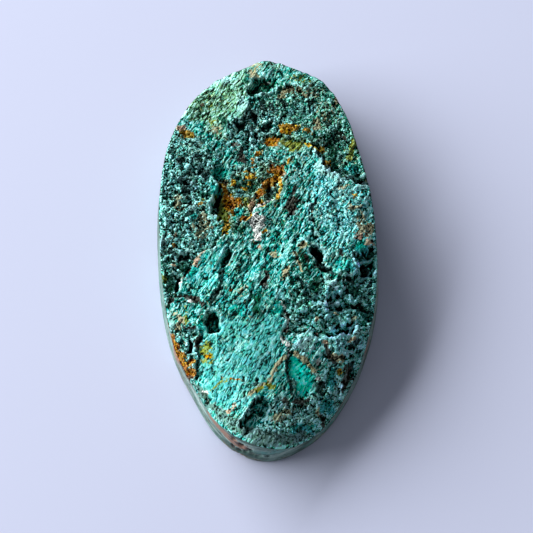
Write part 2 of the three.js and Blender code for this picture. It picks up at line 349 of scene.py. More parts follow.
def wallPlace(angle, z):
    # x and y of the ground wall at an angle and a height
    outX, outY = np.cos(angle) / stone["halfWide"], np.sin(angle) / stone["halfLong"]
    size = np.hypot(outX, outY)
    inset = np.maximum(z, 0) * stone["draft"] + np.maximum(0, stone["baseChamfer"] - z)
    push = (around(stone["swell"], angle) - inset) / size
    return (stone["halfWide"] * np.cos(angle) + outX * push,
            stone["halfLong"] * np.sin(angle) + outY * push)


def lineAway(x, y, line):
    # distance from a line of stretches, positive on its left, and how far along it, 0 to 1
    nearest = np.full(len(x), np.inf)
    side = np.zeros(len(x))
    along = np.zeros(len(x))
    lengths = [math.dist(a, b) for a, b in zip(line, line[1:])]
    passed = 0
    for (x1, y1), (x2, y2), length in zip(line, line[1:], lengths):
        dx, dy = (x2 - x1) / length, (y2 - y1) / length
        t = np.clip((x - x1) * dx + (y - y1) * dy, 0, length)
        away = np.hypot(x - x1 - t * dx, y - y1 - t * dy)
        across = (y - y1) * dx - (x - x1) * dy
        level = np.isclose(away, nearest, rtol=0, atol=1e-9)
        closer = (away < nearest) & ~level | level & (np.abs(across) > np.abs(side))
        nearest = np.where(closer, away, nearest)
        side = np.where(closer, across, side)
        along = np.where(closer, (passed + t) / sum(lengths), along)
        passed += length
    return nearest * np.sign(side), along


def insideBy(x, y, outline):
    # distance to a closed outline's edge, positive inside it
    away = np.abs(lineAway(x, y, outline + outline[:1])[0])
    inside = np.zeros(len(x), bool)
    for (x1, y1), (x2, y2) in zip(outline, outline[1:] + outline[:1]):
        if y1 != y2:
            inside ^= ((y1 > y) != (y2 > y)) & (x < x1 + (y - y1) / (y2 - y1) * (x2 - x1))
    return np.where(inside, away, -away)


smallSpot = 0.5  # mm; nips move a smaller spot or pit by less, so that it stays whole


def spot(x, y, cx, cy, halfX, halfY, turn=0):
    # 0 at the middle of an oval spot, 1 at its edge
    c, s = math.cos(math.radians(turn)), math.sin(math.radians(turn))
    dx, dy = x - cx, y - cy
    return np.hypot((dx * c + dy * s) / halfX, (dy * c - dx * s) / halfY)


def endFade(along, share=0.15):
    # 0 at both ends of a line, 1 along most of it
    return rise(along, 0, share) * rise(1 - along, 0, share)


def zoneStrength(x, y, zones, edge):
    # the strongest of the zones that cover each point
    strength = np.zeros(len(x))
    for amount, outline in zones.values():
        strength = np.maximum(strength, amount * rise(insideBy(x, y, outline), -edge, edge))
    return strength


def makeBlank():
    # a square lid, walls and floor in steps, still in a box from -1 to 1
    bm = bmesh.new()
    bmesh.ops.create_grid(bm, x_segments=stone["acrossCells"], y_segments=stone["alongCells"], size=1)
    bmesh.ops.translate(bm, verts=bm.verts, vec=(0, 0, 1))
    rim = [edge for edge in bm.edges if edge.is_boundary]
    for shrink in (*[None] * stone["wallRows"], *stone["baseRings"]):
        made = bmesh.ops.extrude_edge_only(bm, edges=rim)["geom"]
        corners = [g for g in made if isinstance(g, bmesh.types.BMVert)]
        rim = [g for g in made if isinstance(g, bmesh.types.BMEdge) and g.is_boundary]
        if shrink:
            bmesh.ops.scale(bm, verts=corners, vec=(shrink, shrink, 1))
        else:
            bmesh.ops.translate(bm, verts=corners, vec=(0, 0, -1 / stone["wallRows"]))
    bmesh.ops.pointmerge(bm, verts=corners, merge_co=(0, 0, corners[0].co.z))
    bmesh.ops.recalc_face_normals(bm, faces=bm.faces)
    # extruding makes faces in no set order, so they are put in one by height, then y, then x
    order = Vector((1, 1e3, 1e6))
    bm.faces.sort(key=lambda face: order.dot(face.calc_center_median()))
    return bm


# How the stone is roughened. A row holds a pattern's strength, its size in mm, its seed and its layers.
grain = {
    "rimChips": (1, 2.4, 24, 3),
    "rimWear": (0.8, 1.2, 14),
    "swayX": (0.3, 1.8, 1, 2),  # how far edges wander
    "swayY": (0.3, 1.8, 2, 2),
    "nips": ((0.5, 0.8, 17), (0.35, 0.35, 21)),  # bites out of edges
    "roughness": (0.3, 1.7, 15, 2),
    "ledges": (0.4, 1.5, 18, 2),
    "cracks": (1, 0.9, 19),
    "crackDepth": 0.7,  # what that adds to
    "ragged": (0.22, 0.5, 4),  # the sides of pits
    "swell": (0.2, 3.4, 5, 2),
    "facets": ((0.08, 0.18, 1.7, 6), (0.03, 0.13, 0.8, 7)),  # these two add their second where it is rough
    "layers": (1.1, 1.5, 9, 2),
    "layering": (1, 1.2, 10, 2),
    "rills": (0.055, 0.4, 12, 2),
    "crust": (0.1, 0.55, 16, 3),
    "grit": (0.06, 0.36, 13, 1),
    "zoneEdges": {"smooth": 0.2, "crumbs": 0.9, "blocks": 0.4},  # mm
    "crumbSway": 2,  # how many times as far as other edges the crumb zones' wander
    "holeSway": 0.4,
    "holeRagged": 0.5,
    "crackEdge": (0.3, 1.2),  # shares of a crack's width and a pit's between which it rises to its edge
    "pitEdge": (0.5, 1.05),
    "layeringEdge": (-0.5, 0.7),
    "rillCalm": 0.6,  # what rough and smooth places lack of the rills
    "roughBy": 0.85,  # what the crumb zones count for, on top of what all the rest has
    "roughFrom": 0.08,
    "leastRough": 0.05,
    "flankTurn": 57,  # degrees from +X to the line along which the flank is drawn out
    "flankDraw": 3.2,
    "terrace": 0.62,  # mm from one torn layer to the next
    "terraceHeight": 0.18,
    "terraceFace": 0.15,  # the steep side's share of a layer
}

# Loose pieces: how their sides bend, slope of their faces, step from one to the next, depth of the gaps
# between them and the gaps' share of the size
loosePieces = {
    "block": {"size": 1.5, "seed": 26, "bends": ((0.4, 1.1, 27), (0.4, 1.1, 28)), "slope": 0.55,
              "step": 0.5, "gap": 0.45, "gapShare": 0.1},
    "crumb": {"size": 0.33, "seed": 8, "bends": ((0.2, 0.5, 3), (0.2, 0.5, 20)), "slope": 0.1,
              "step": 0.1, "gap": 0.05, "gapShare": 0.22},
}


def coarseHeight(x, y, out, angle):
    # the lie of the break before it is roughened
    weight = np.zeros(len(x))
    total = np.zeros(len(x))
    for px, py, pz in lie:
        near = np.exp(-((x - px) ** 2 + (y - py) ** 2) / (2 * stone["lieReach"] ** 2))
        weight += near
        total += near * pz
    keep = out ** stone["bulge"]
    chips = draw(broken, np.stack([x, y, 0 * x], 1), grain["rimChips"])
    worn = stone["rimChips"] * rise(out, *stone["chipsEdge"]) * rise(chips, 0, stone["chipsRise"])
    return total / weight * (1 - keep) + around(stone["wallTop"], angle) * keep - worn


def looseHeight(plan, loose):
    # small faces at every tilt with gaps between them, and the bent places they were made at
    bends = [draw(waves, plan, row) for row in loose["bends"]]
    bent = plan + np.stack([*bends, 0 * plan[:, 0]], 1)
    near, second, way, number = crumbs(bent, loose["size"], loose["seed"])
    z = loose["slope"] * (way * arrows[number]).sum(axis=1) + loose["step"] * (throws[number][:, 1] - 0.5)
    return z - loose["gap"] * (1 - rise(second - near, 0, loose["gapShare"])), bent


def turned(points, degrees, stretch):
    # points in a frame turned to run along a slanting line, drawn in along it
    c, s = math.cos(math.radians(degrees)), math.sin(math.radians(degrees))
    x, y, z = points.T
    return np.stack([(x * c + y * s) / stretch, y * c - x * s, z], 1)


# The side of a ledge: half its width, and how high a lip stands along it and how far that reaches, in mm
ledgeSide = {
    "half": 0.12,
    "lip": 0.3,
    "lipReach": 0.7,
    "farthest": 5,  # times the reach of the low side
}


def ledgeHeight(x, y):
    z = np.zeros(len(x))
    half = ledgeSide["half"]
    for drop, reach, line in ledges.values():
        away, along = lineAway(x, y, line)
        low = np.exp(-np.maximum(away, 0) / reach) * rise(away, -half, half)
        lip = np.exp(-np.maximum(-away, 0) / ledgeSide["lipReach"]) * rise(-away, -half, half)
        near = np.abs(away) < ledgeSide["farthest"] * reach
        z += drop * (ledgeSide["lip"] * lip - low) * endFade(along) * near
    return z


def topHeight(coarse, plan):
    # the break in its full roughness: height, how rough and how smooth it is, and its places nipped about
    x, y, _ = plan.T
    swayX, swayY = (draw(broken, plan, grain[name]) for name in ("swayX", "swayY"))
    nip = sum(far * (throws[crumbs(plan, size, seed)[3]] - 0.5) for far, size, seed in grain["nips"])
    nipX, nipY, _ = nip.T
    wx, wy = x + swayX + nipX, y + swayY + nipY
    edges = grain["zoneEdges"]
    smooth = zoneStrength(wx, wy, smoothZones, edges["smooth"])
    calm = 1 - smooth
    roughX, roughY = x + grain["crumbSway"] * swayX + nipX, y + grain["crumbSway"] * swayY + nipY
    rough = zoneStrength(roughX, roughY, crumbZones, edges["crumbs"])
    rough = grain["roughBy"] * rough + grain["roughFrom"] + draw(broken, plan, grain["roughness"])
    rough = np.clip(rough, grain["leastRough"], 1) * calm
    z = coarse + ledgeHeight(wx, wy) * (1 + draw(broken, plan, grain["ledges"]))
    uneven = grain["crackDepth"] + draw(waves, plan, grain["cracks"])
    for depth, width, line in cracks.values():
        away, along = lineAway(wx, wy, line)
        z -= depth * (1 - rise(np.abs(away) / width, *grain["crackEdge"])) * endFade(along) * uneven
    ragged = draw(waves, plan, grain["ragged"])
    for cx, cy, halfX, halfY, turn, depth in pits.values():
        keep = min(1, halfX / smallSpot)
        away = spot(x + keep * (wx - x), y + keep * (wy - y), cx, cy, halfX, halfY, turn)
        z -= depth * (1 - rise(away + keep * ragged, *grain["pitEdge"]))
    holeX, holeY = x + grain["holeSway"] * swayX, y + grain["holeSway"] * swayY
    for depth, side, outline in holes.values():
        inside = insideBy(holeX, holeY, outline) + grain["holeRagged"] * ragged
        z -= depth * rise(inside, -side, side)
    z += calm * draw(broken, plan, grain["swell"])
    for height, more, size, seed in grain["facets"]:
        z += calm * (height + more * rough) * chips(plan, size, seed)
    z += zoneStrength(wx, wy, blockZones, edges["blocks"]) * looseHeight(plan, loosePieces["block"])[0]
    crumbled, bent = looseHeight(plan, loosePieces["crumb"])
    z += rough * (crumbled + draw(ridged, bent, grain["crust"]))
    # torn layers down the flank, each with its steep side to the lower right
    drawn = turned(plan, grain["flankTurn"], grain["flankDraw"])
    layer = drawn[:, 1] / grain["terrace"] + draw(broken, drawn, grain["layers"])
    torn = layer - np.floor(layer)
    step = np.minimum(torn / grain["terraceFace"], (1 - torn) / (1 - grain["terraceFace"]))
    step *= grain["terraceHeight"] * rise(draw(broken, drawn, grain["layering"]), *grain["layeringEdge"])
    z += (1 - rough) * calm * step
    plain = (1 - grain["rillCalm"] * rough) * (1 - grain["rillCalm"] * smooth)
    z += plain * draw(ridged, drawn, grain["rills"])
    z += rough * draw(broken, plan, grain["grit"])
    return z, rough, smooth, wx, wy


# Tones of the break, each over the ones before it: outlines it fills, and how wide its edge fades
tones = {
    "low": (1, (((-8, -9), (-5, -7), (-2, -5), (1.4, -6), (2, -10), (2, -15), (0, -16.4), (-4, -19),
        (-8, -16), (-7, -12)),)),
    "pale": (0.8, (((4.6, 9.3), (6.6, 8.4), (8, 7.8), (10.5, 7.2), (12.5, 4), (12.5, 0.6), (9.4, 0.4),
        (7, -1), (5.6, 0), (5, 3), (4.4, 6)),)),
    "left": (0.7, (crumbZones["left"][1],)),
    "slab": (0.4, (((-9.4, -4.6), (-8.4, -2.9), (-7.2, -1.4), (-5, 0.3), (-4.2, 0.2), (-4.4, -1.6),
        (-5, -4.8), (-6.4, -6), (-9.2, -5.4)),)),
    "block": (0.5, (((5.6, -9.8), (7.4, -9.6), (9.2, -9.4), (10.8, -9.6), (10.9, -11), (9.4, -12.6),
        (7, -13.4), (5.6, -13), (3.4, -12.2), (2.2, -11), (2.6, -9.8), (4, -9.6)),)),
    "upperRight": (0.8, (((-1, 17), (0.6, 17.6), (2, 18.6), (4.4, 19.6), (7.4, 19), (10, 14), (12, 7.4),
        (9, 7.6), (7.6, 8.2), (6, 9.4), (5.6, 11.4), (3.6, 13.2), (1, 15), (-1, 15.6)),)),
    "top": (0.7, (((-4, 15), (-2.4, 16.4), (-0.6, 15.8), (1.6, 14.4), (1.2, 12.8), (-0.6, 12), (-2.6, 11.8),
        (-4, 12.6)),)),
    "right": (0.6, (((9.3, -1), (9.8, -1.2), (11, -0.2), (14, -0.2), (14, -9), (9.4, -9.2), (8.4, -10),
        (6, -10), (3, -9.2), (2.2, -7), (4, -5.6), (6.4, -5), (8.1, -4.4), (8, -3.4)), ((8.9, -12.6),
        (10.6, -11.6), (11.4, -14), (9, -18.6), (7.2, -17), (7.4, -13.4)))),
    "bottom": (0.8, (((-2.4, -20.4), (-0.4, -19), (1, -17), (3.4, -16.9), (5.4, -16.4), (6.4, -13.4),
        (8, -14), (8, -19), (4, -23), (-3, -23)),)),
    "sage": (0.5, (((-9.2, 15), (-9.8, 17), (-7, 19), (-5, 21), (-1, 23), (-1, 20.4), (-2.1, 19.2),
        (-1.9, 17.2), (-2.1, 16), (-3, 15.2), (-4.1, 14.2), (-4.2, 12.2), (-5, 12), (-5.6, 13.4),
        (-6.4, 12.4), (-7, 13.8), (-8.6, 14.2)),)),
    "crown": (0.6, (((-2, 19.6), (-1, 20.2), (1, 20.6), (3.5, 20.4), (6, 20), (3, 23), (-2, 23)),)),
    "basin": (0.5, (((-5.3, 7.4), (-3.5, 7.6), (-2, 8.6), (1, 9.8), (2.3, 9.4), (1.2, 5.8), (-1.4, 3.7),
        (-3.2, 2.4), (-4.5, 0.9), (-5.1, 2.6), (-5.5, 4.5)), ((-0.6, 12.6), (3.6, 12.6), (5.8, 11.8),
        (5.6, 11), (2, 10.8), (-0.6, 11)))),
    "pit": (0.25, (((-1.9, 17.6), (-1.7, 18.6), (-0.9, 19.3), (0.3, 19.8), (1.5, 19.5), (1.3, 18.6),
        (0.2, 17.8), (-1, 17.3)),)),
    "facet": (0.15, (((2.2, -12), (3, -12), (4.9, -13.7), (5.1, -14.9), (4.2, -16.6), (3.3, -16.7),
        (2.4, -14.6)),)),
    "hollow": (0.35, (((-0.9, -16.1), (0.4, -16.4), (1.2, -17.4), (0.8, -19), (-0.6, -20.4), (-2.2, -20.4),
        (-2.6, -19), (-2.2, -17.4)), ((-6.6, -7.4), (-5.4, -7.3), (-5, -8.4), (-5.3, -9.6), (-6.5, -9.6),
        (-6.7, -8.5)), ((4.5, 0.2), (5.2, 0.3), (5.8, -1.2), (5.9, -2.2), (5.2, -1.8), (4.6, -0.8)))),
}

# Stains and mineral spots, and near-black painted shade in holes, pits, gaps and under ledges: x, y, half
# width, half length, strength, turn in degrees if it is turned
patches = {
    "slate": ((4.7, -5.5, 0.9, 0.5, 0.9), (1.5, -5.5, 0.4, 0.5, 1), (7.6, -11.2, 0.8, 0.8, 0.4),
        (-8.2, 6.4, 0.4, 0.5, 1), (-1.6, -16.5, 0.7, 0.6, 1, 30), (-2.9, 5.8, 0.6, 0.4, 0.8),
        (4, 15.5, 1.6, 1, 0.45), (-5, -2.9, 0.4, 0.3, 0.9), (-5.3, -14.4, 0.9, 0.3, 0.5, 40),
        (-0.8, -12.6, 1.4, 0.45, 0.5, 50), (6.6, 3, 1.2, 0.9, 0.3, 30), (8.8, 5.9, 0.4, 0.9, 0.8, 15)),
    "teal": ((-5, 8.3, 1, 1.1, 0.6, -20), (-8, 3.2, 0.5, 0.6, 0.9), (10, -0.3, 0.9, 0.8, 1.2),
        (-6.9, -9.2, 0.35, 0.8, 1.3, 10), (8, -2.5, 1.4, 0.8, 0.6), (6.8, -4.4, 0.8, 1, 0.9),
        (-3.2, -7.2, 0.8, 0.7, 0.5), (0.8, -7.2, 0.8, 0.7, 0.5), (-5.7, 6.3, 0.35, 0.7, 1.1, 15),
        (9.4, 9, 0.7, 0.5, 0.8), (-5.8, 11.1, 1.2, 0.4, 0.5, 40), (-3, 3.4, 0.5, 0.7, 0.9),
        (-8.3, -3, 0.5, 1, 0.7, -40), (6.7, -15, 0.4, 1.2, 1), (6.2, -18, 0.9, 1, 0.8),
        (3.5, -20.5, 1.4, 0.7, 0.8, 15), (10.2, -8, 1, 0.7, 0.5), (-6.5, -1.6, 0.6, 1.4, 0.3, -50)),
    "mint": ((6.7, -4.4, 0.65, 0.9, 0.9), (-4.3, 19.3, 0.6, 0.5, 1.1, 20), (-2.7, 16.5, 0.5, 0.9, 0.6),
        (-8.5, 7.3, 0.5, 0.35, 1.1), (-8.1, 4.4, 0.45, 0.9, 0.9), (6, 8.4, 1.3, 0.5, 0.9, -25),
        (-10.3, -8.7, 0.35, 1.3, 1.1), (5.4, 10.6, 0.5, 0.4, 0.8), (9.7, -9.75, 0.9, 0.2, 1.3, 10),
        (4, -11, 1.2, 0.9, 0.7, 20), (0.55, 6.5, 0.3, 0.35, 1.2), (-3.2, 8.2, 0.7, 0.25, 1, 25),
        (-2, 8.4, 0.6, 0.2, 0.9, -10), (-11, 0.8, 0.5, 0.9, 0.7), (-8.6, -0.6, 0.9, 0.4, 0.6, 20),
        (6.7, -6.2, 1.2, 0.35, 0.9), (-3, 2.9, 0.35, 0.25, 1), (-2.6, -10.9, 1.5, 0.35, 0.5, 50),
        (-2.2, -16.2, 1.6, 0.6, 0.4, 30), (6, 9.2, 0.5, 0.5, 0.8), (7, 7.6, 1.4, 0.4, 0.7, -15),
        (-4.6, -12.6, 1.4, 0.4, 0.4, 55)),
    "moss": ((-4.9, 14, 0.5, 0.9, 0.8), (-2.5, 19.2, 0.3, 0.3, 0.9), (-0.8, 18.2, 1.2, 0.6, 0.7, 20),
        (7.1, 10.5, 0.6, 1.7, 1, 10), (7.4, 8.7, 0.6, 0.4, 1), (-2.4, 6.9, 1.5, 0.9, 0.6),
        (-3, 1.7, 0.7, 0.7, 0.5), (-6.8, 5.6, 0.8, 0.45, 1), (-9.2, -2.4, 0.9, 0.5, 0.7, 20),
        (-10.6, -2.2, 0.6, 0.8, 0.5), (-10.5, -4.6, 0.7, 1.2, 0.7), (-1, -6.7, 0.3, 1.3, 1, -15),
        (4, -2.4, 0.7, 1.5, 0.6, 10), (10.9, -1, 1.1, 0.35, 1.1, 30), (10.3, -7.6, 1.1, 1, 0.6),
        (3.4, -6, 1.2, 1.6, 0.45), (-5.4, 15.1, 0.5, 0.4, 0.5), (5, -4.4, 0.6, 1, 0.7),
        (9.2, -5.2, 1.2, 0.8, 0.6), (-6.9, -11.7, 0.3, 0.5, 0.7), (2.9, 9.6, 0.5, 0.9, 0.4, -20)),
    # painted shade: near-black spots where holes, pits and gaps lie in shade and under ledges, not a stain
    "paintedShade": ((10.2, 7.3, 1.5, 0.4, 2, -8), (-3, 13.8, 0.6, 0.25, 1, 30), (-1.2, 14.6, 0.25, 0.7, 1.1, 10),
        (-0.2, 13.5, 0.6, 0.25, 1, 15), (-2, 12.9, 0.5, 0.2, 0.9, 20), (10.4, -2.6, 0.55, 0.6, 1.2),
        (5.2, -1.1, 0.4, 1, 1.2, 10), (9.9, -6.9, 1.2, 0.18, 1, -25), (-1.3, 18.5, 0.4, 0.25, 0.7, 20),
        (-1.5, 13.2, 0.4, 0.3, 0.9), (0, 16.1, 0.9, 0.7, 0.6), (4.8, 16.5, 0.7, 0.22, 0.7, 30),
        (2, 16.5, 0.8, 0.25, 0.8, -20), (6.8, 14.2, 0.25, 0.7, 0.7, 20), (7.6, 12.4, 0.35, 0.9, 0.6),
        (0.2, 5.6, 0.5, 0.4, 1.2), (-3.4, 6.6, 0.5, 0.2, 0.8), (-1.9, 6.7, 0.3, 0.4, 0.7),
        (-1, 7.4, 0.35, 0.5, 0.8), (-9.5, 7.1, 0.6, 0.25, 1), (-8.7, 5.8, 0.3, 0.8, 0.9),
        (-6.8, 7.9, 0.7, 0.7, 0.9), (-9.4, 9.5, 0.7, 0.4, 0.7), (-7.6, 9.8, 0.6, 0.35, 0.7, 30),
        (-9, 2.5, 0.4, 0.4, 0.7), (-10.2, -0.8, 0.6, 0.25, 0.8), (-8.9, -1.7, 1.1, 0.3, 0.7, 20),
        (-9.8, -4.3, 0.25, 1, 0.8), (-11, -4.8, 0.4, 0.6, 0.4), (-7.2, 0.2, 0.3, 0.6, 0.7, 30),
        (-6.3, 2.2, 0.2, 0.7, 0.7, 10), (8.6, -4, 0.8, 0.3, 0.6), (10.8, -4.4, 0.3, 1.2, 0.5),
        (9.4, -10.9, 0.6, 0.4, 1, 30), (8.9, -13.8, 0.35, 0.9, 1, -20), (5.6, -15.8, 0.35, 1, 1.2, -10),
        (-2.6, -15, 0.2, 0.17, 2), (-1.2, -15.3, 0.24, 0.2, 2), (7.1, 5.8, 0.5, 0.6, 0.4),
        (4.9, -16.6, 0.4, 0.3, 0.8), (-7.4, 11.4, 0.5, 0.3, 0.6, 20), (3.4, -4.2, 0.3, 0.7, 0.8)),
    "beige": ((1.6, 17.4, 0.4, 0.25, 1.1, 30), (2.4, 18, 0.5, 0.3, 1.1), (3.3, 17.8, 0.4, 0.3, 1, -20),
        (4.1, 17.3, 0.4, 0.25, 0.8, -30), (7.8, 16.6, 0.45, 0.8, 0.8, -30), (6.4, 15.4, 1.2, 1, 0.4),
        (5.2, 17.6, 1.5, 0.7, 0.4, -20), (5.5, 13.9, 0.6, 0.5, 0.9), (-4.9, 7.1, 0.45, 0.4, 0.9),
        (-1.8, 4.6, 0.6, 0.8, 1.3, -10), (-7, 2, 1, 1.8, 0.45, -10), (-9.6, 4.8, 0.6, 1.1, 0.6),
        (-1.4, 19.9, 0.5, 0.6, 0.7), (-1.2, 21, 0.6, 0.3, 0.6), (-3, -5.1, 1, 0.8, 0.35, 30),
        (0.9, -1.1, 0.4, 0.35, 0.8), (1.9, -3, 0.3, 0.9, 0.8, -15), (3.8, 0.1, 0.4, 0.35, 1.2),
        (9.2, 4.1, 0.9, 0.3, 0.9, -5), (9.8, 2.3, 0.7, 1.1, 0.6), (10.8, 1.6, 0.6, 0.9, 0.8),
        (9, -8.4, 0.2, 0.4, 0.9), (7.5, -12.6, 0.9, 0.45, 1.2, -20), (5.2, -18.8, 0.4, 0.6, 1.2),
        (1.5, -18.8, 1.4, 0.8, 0.5, 20), (-9.4, -8.6, 0.4, 1.2, 0.6), (8.2, 6.4, 0.6, 0.4, 0.5),
        (-6.8, -16.3, 0.6, 0.2, 1, -5), (-5.6, 13.2, 0.5, 0.9, 0.4), (-9.8, 0.9, 0.5, 0.4, 0.6)),
    "olive": ((-5.1, 5.2, 0.22, 1.4, 1.1, 10), (2.8, 11.5, 1, 0.5, 1.3), (-4.8, 3.2, 0.5, 1.1, 0.9, -5),
        (-5.2, 3.1, 0.3, 0.3, 1.3), (-6.2, -12, 0.7, 1.1, 0.62), (-7, 16.5, 1.2, 1.4, 0.3, 20),
        (-6, 14.2, 0.7, 0.7, 0.35), (3.7, 19.4, 1.2, 0.5, 0.4, -15), (9, 11, 0.5, 1, 0.9),
        (-11, -3.6, 0.35, 0.4, 0.9), (-6.9, 5.1, 0.35, 0.2, 0.9), (-0.9, -15.9, 0.5, 0.25, 0.9, 30),
        (0.2, -15.6, 0.4, 0.3, 0.9), (-8.8, -7.9, 0.25, 0.8, 0.7), (-2.4, 5.2, 0.4, 0.5, 0.7),
        (-4.4, 17, 0.9, 1.3, 0.2)),
    "ochre": ((-4.9, 6.6, 0.3, 0.7, 1.2, 10), (-4.5, 5.8, 0.3, 0.5, 1), (5.1, 11.3, 0.8, 0.3, 1.3, -10),
        (2.4, 13.4, 1.2, 0.5, 1.1, 10), (4.6, 13, 0.5, 0.3, 1), (-8.7, 12.6, 0.9, 0.4, 1.3, -20),
        (-4.8, 6.4, 0.3, 0.6, 1, 15), (-3.2, 5.2, 0.4, 0.3, 1.1), (-4.6, 5, 0.25, 0.6, 1.1),
        (-4.4, 2, 0.45, 1, 1.3, -5), (-3.9, 3.7, 0.25, 0.5, 1.2), (-1.9, 3.5, 0.2, 0.4, 1.1, 30),
        (-0.7, 4.75, 0.35, 0.35, 1.4, 30), (-1.9, 7.6, 0.4, 0.5, 1.3), (-3.7, 7.2, 0.3, 0.3, 1.1),
        (-2.6, 6.6, 0.4, 0.2, 0.9), (2.2, 9.5, 0.25, 0.6, 1.1), (-7.2, 4.6, 0.35, 0.2, 1.2),
        (-6.2, -12.3, 0.25, 0.2, 1.4), (7.6, -13.8, 0.3, 0.35, 1.3), (-0.4, 1.5, 0.2, 0.35, 1.1),
        (9.6, 5.6, 0.5, 0.25, 0.8), (-1, 10.3, 0.4, 0.4, 0.8), (-9.7, -11.9, 0.2, 0.5, 1, -20),
        (-8.9, -13.2, 0.25, 0.4, 1, -20)),
    "rust": ((0.7, 11.8, 0.9, 0.45, 1.4), (-4.3, 5.6, 0.4, 0.7, 1.3, 30), (-3.8, 4.8, 0.9, 0.65, 1.4, -10),
        (-2.3, 3.1, 0.4, 0.4, 1.3, 30), (-0.4, 6.4, 0.35, 0.6, 1.4, -40), (0.3, 7.1, 0.4, 0.6, 1.4, -40),
        (0.9, 7.9, 0.5, 0.6, 1.4, -30), (1.4, 8.6, 0.4, 0.6, 1.3, -30), (0.5, 8.4, 0.6, 0.3, 1.2, 20),
        (-1, 5.8, 0.35, 0.5, 1.2), (-4.9, 6.9, 0.2, 0.5, 0.8, 10), (6.6, 9.7, 0.2, 0.4, 0.9, 20),
        (-10.1, -10.5, 0.3, 0.6, 1.4, -15), (-9.8, -11.5, 0.4, 0.7, 1.4, -20),
        (-9.4, -12.6, 0.5, 0.7, 1.4, -25), (-8.9, -13.6, 0.6, 0.7, 1.4, -30),
        (-8.4, -14.6, 0.5, 0.7, 1.3, -25), (-8, -12.9, 0.4, 0.4, 1.3), (-10, 0, 0.2, 0.2, 1.1),
        (-1.6, 9.4, 0.3, 0.4, 0.8), (-4.2, 2.9, 0.2, 0.5, 0.9), (-3.9, -5.1, 0.2, 0.2, 0.9)),
    "plum": ((-2.8, 10.2, 0.5, 1.1, 1.1), (-3.6, 11.2, 0.5, 0.3, 0.8), (2.6, 4.4, 0.5, 0.8, 1.5, -30),
        (3.1, 5.9, 0.25, 0.5, 1.2), (0.9, 9.2, 0.8, 0.3, 0.9, 10), (-7.9, -6, 0.9, 0.3, 1.1, 5),
        (-6.9, -6.6, 0.3, 0.35, 0.9), (-10.5, -6.5, 0.4, 0.25, 1.1), (-8.2, -9.1, 0.8, 0.2, 1.2, 15),
        (-7.3, -11.1, 0.45, 0.6, 1.2), (-8.2, -15.1, 0.3, 0.35, 1.2, -25),
        (-9.3, -14.2, 0.2, 0.5, 0.9, -30), (-0.2, -4, 0.4, 0.8, 1.1, -10), (4.3, -1.6, 0.3, 0.8, 0.7, 10),
        (7.9, -0.8, 0.2, 0.4, 1.2, 30), (6.3, -11.5, 0.3, 0.9, 1.3, 10), (8.3, -14.9, 0.5, 1.6, 1.1, -15),
        (3.2, -17.4, 1.4, 0.4, 0.8), (5.7, -19.5, 0.3, 0.5, 1.1), (-7.2, 16.2, 0.25, 0.2, 0.9),
        (2, -17, 0.4, 0.8, 0.7, -20), (8, 12.9, 0.4, 0.7, 0.5)),
    "peach": ((-1.8, 4.5, 0.55, 0.6, 1), (-7.55, -1.9, 0.5, 0.2, 1.3, 50), (8.8, -10.5, 0.35, 0.25, 1.5),
        (7.2, -7.7, 0.3, 0.2, 1.3), (-9.5, 13.4, 0.4, 0.3, 1.2), (1.7, 8.1, 0.35, 0.2, 1.1),
        (10.9, 0.2, 0.6, 0.3, 0.7), (5, -8.3, 0.3, 0.25, 1), (5.1, -9.8, 0.2, 0.2, 1.1),
        (-1.2, 0.8, 0.3, 0.4, 1), (-9.8, 1.1, 0.2, 0.2, 1.1), (-10.1, -2.3, 0.25, 0.2, 1.2),
        (2, -9.4, 0.25, 0.25, 1.3), (-4, -18, 0.8, 0.35, 0.55, 20), (9.9, 1, 0.5, 0.4, 0.7),
        (-10.2, -10.1, 0.2, 0.25, 1), (-0.7, -0.2, 0.3, 0.2, 0.8), (6, -10.8, 0.3, 0.2, 1.1)),
    "chalk": ((-1.1, 2.4, 0.8, 0.85, 0.85), (-1.1, 1.2, 0.65, 0.8, 0.72), (-8.2, -6.3, 0.25, 0.15, 1.3),
        (5.4, -14.7, 0.4, 0.25, 1.4, 20), (5.3, -12.9, 0.2, 0.3, 1.4, -20), (0.1, 19.2, 0.2, 0.15, 1.1),
        (-9.2, -4.15, 0.3, 0.12, 1.2, 20), (1.9, -10.8, 0.2, 0.5, 0.9), (2.1, -12, 0.15, 0.5, 0.9),
        (-6.6, -16.2, 0.35, 0.15, 1, -10)),
    "worn": ((-6.9, -16.4, 1.3, 0.4, 0.8, -52), (-5.2, -18.4, 1.4, 0.55, 1.1, -42),
        (-3.5, -19.6, 1.6, 0.7, 1.2, -38), (-1.6, -20.8, 1.6, 0.7, 1.2, -25),
        (0.8, -21.5, 1.6, 0.5, 1.1, -8), (3, -21.3, 1.4, 0.45, 1, 12)),
}
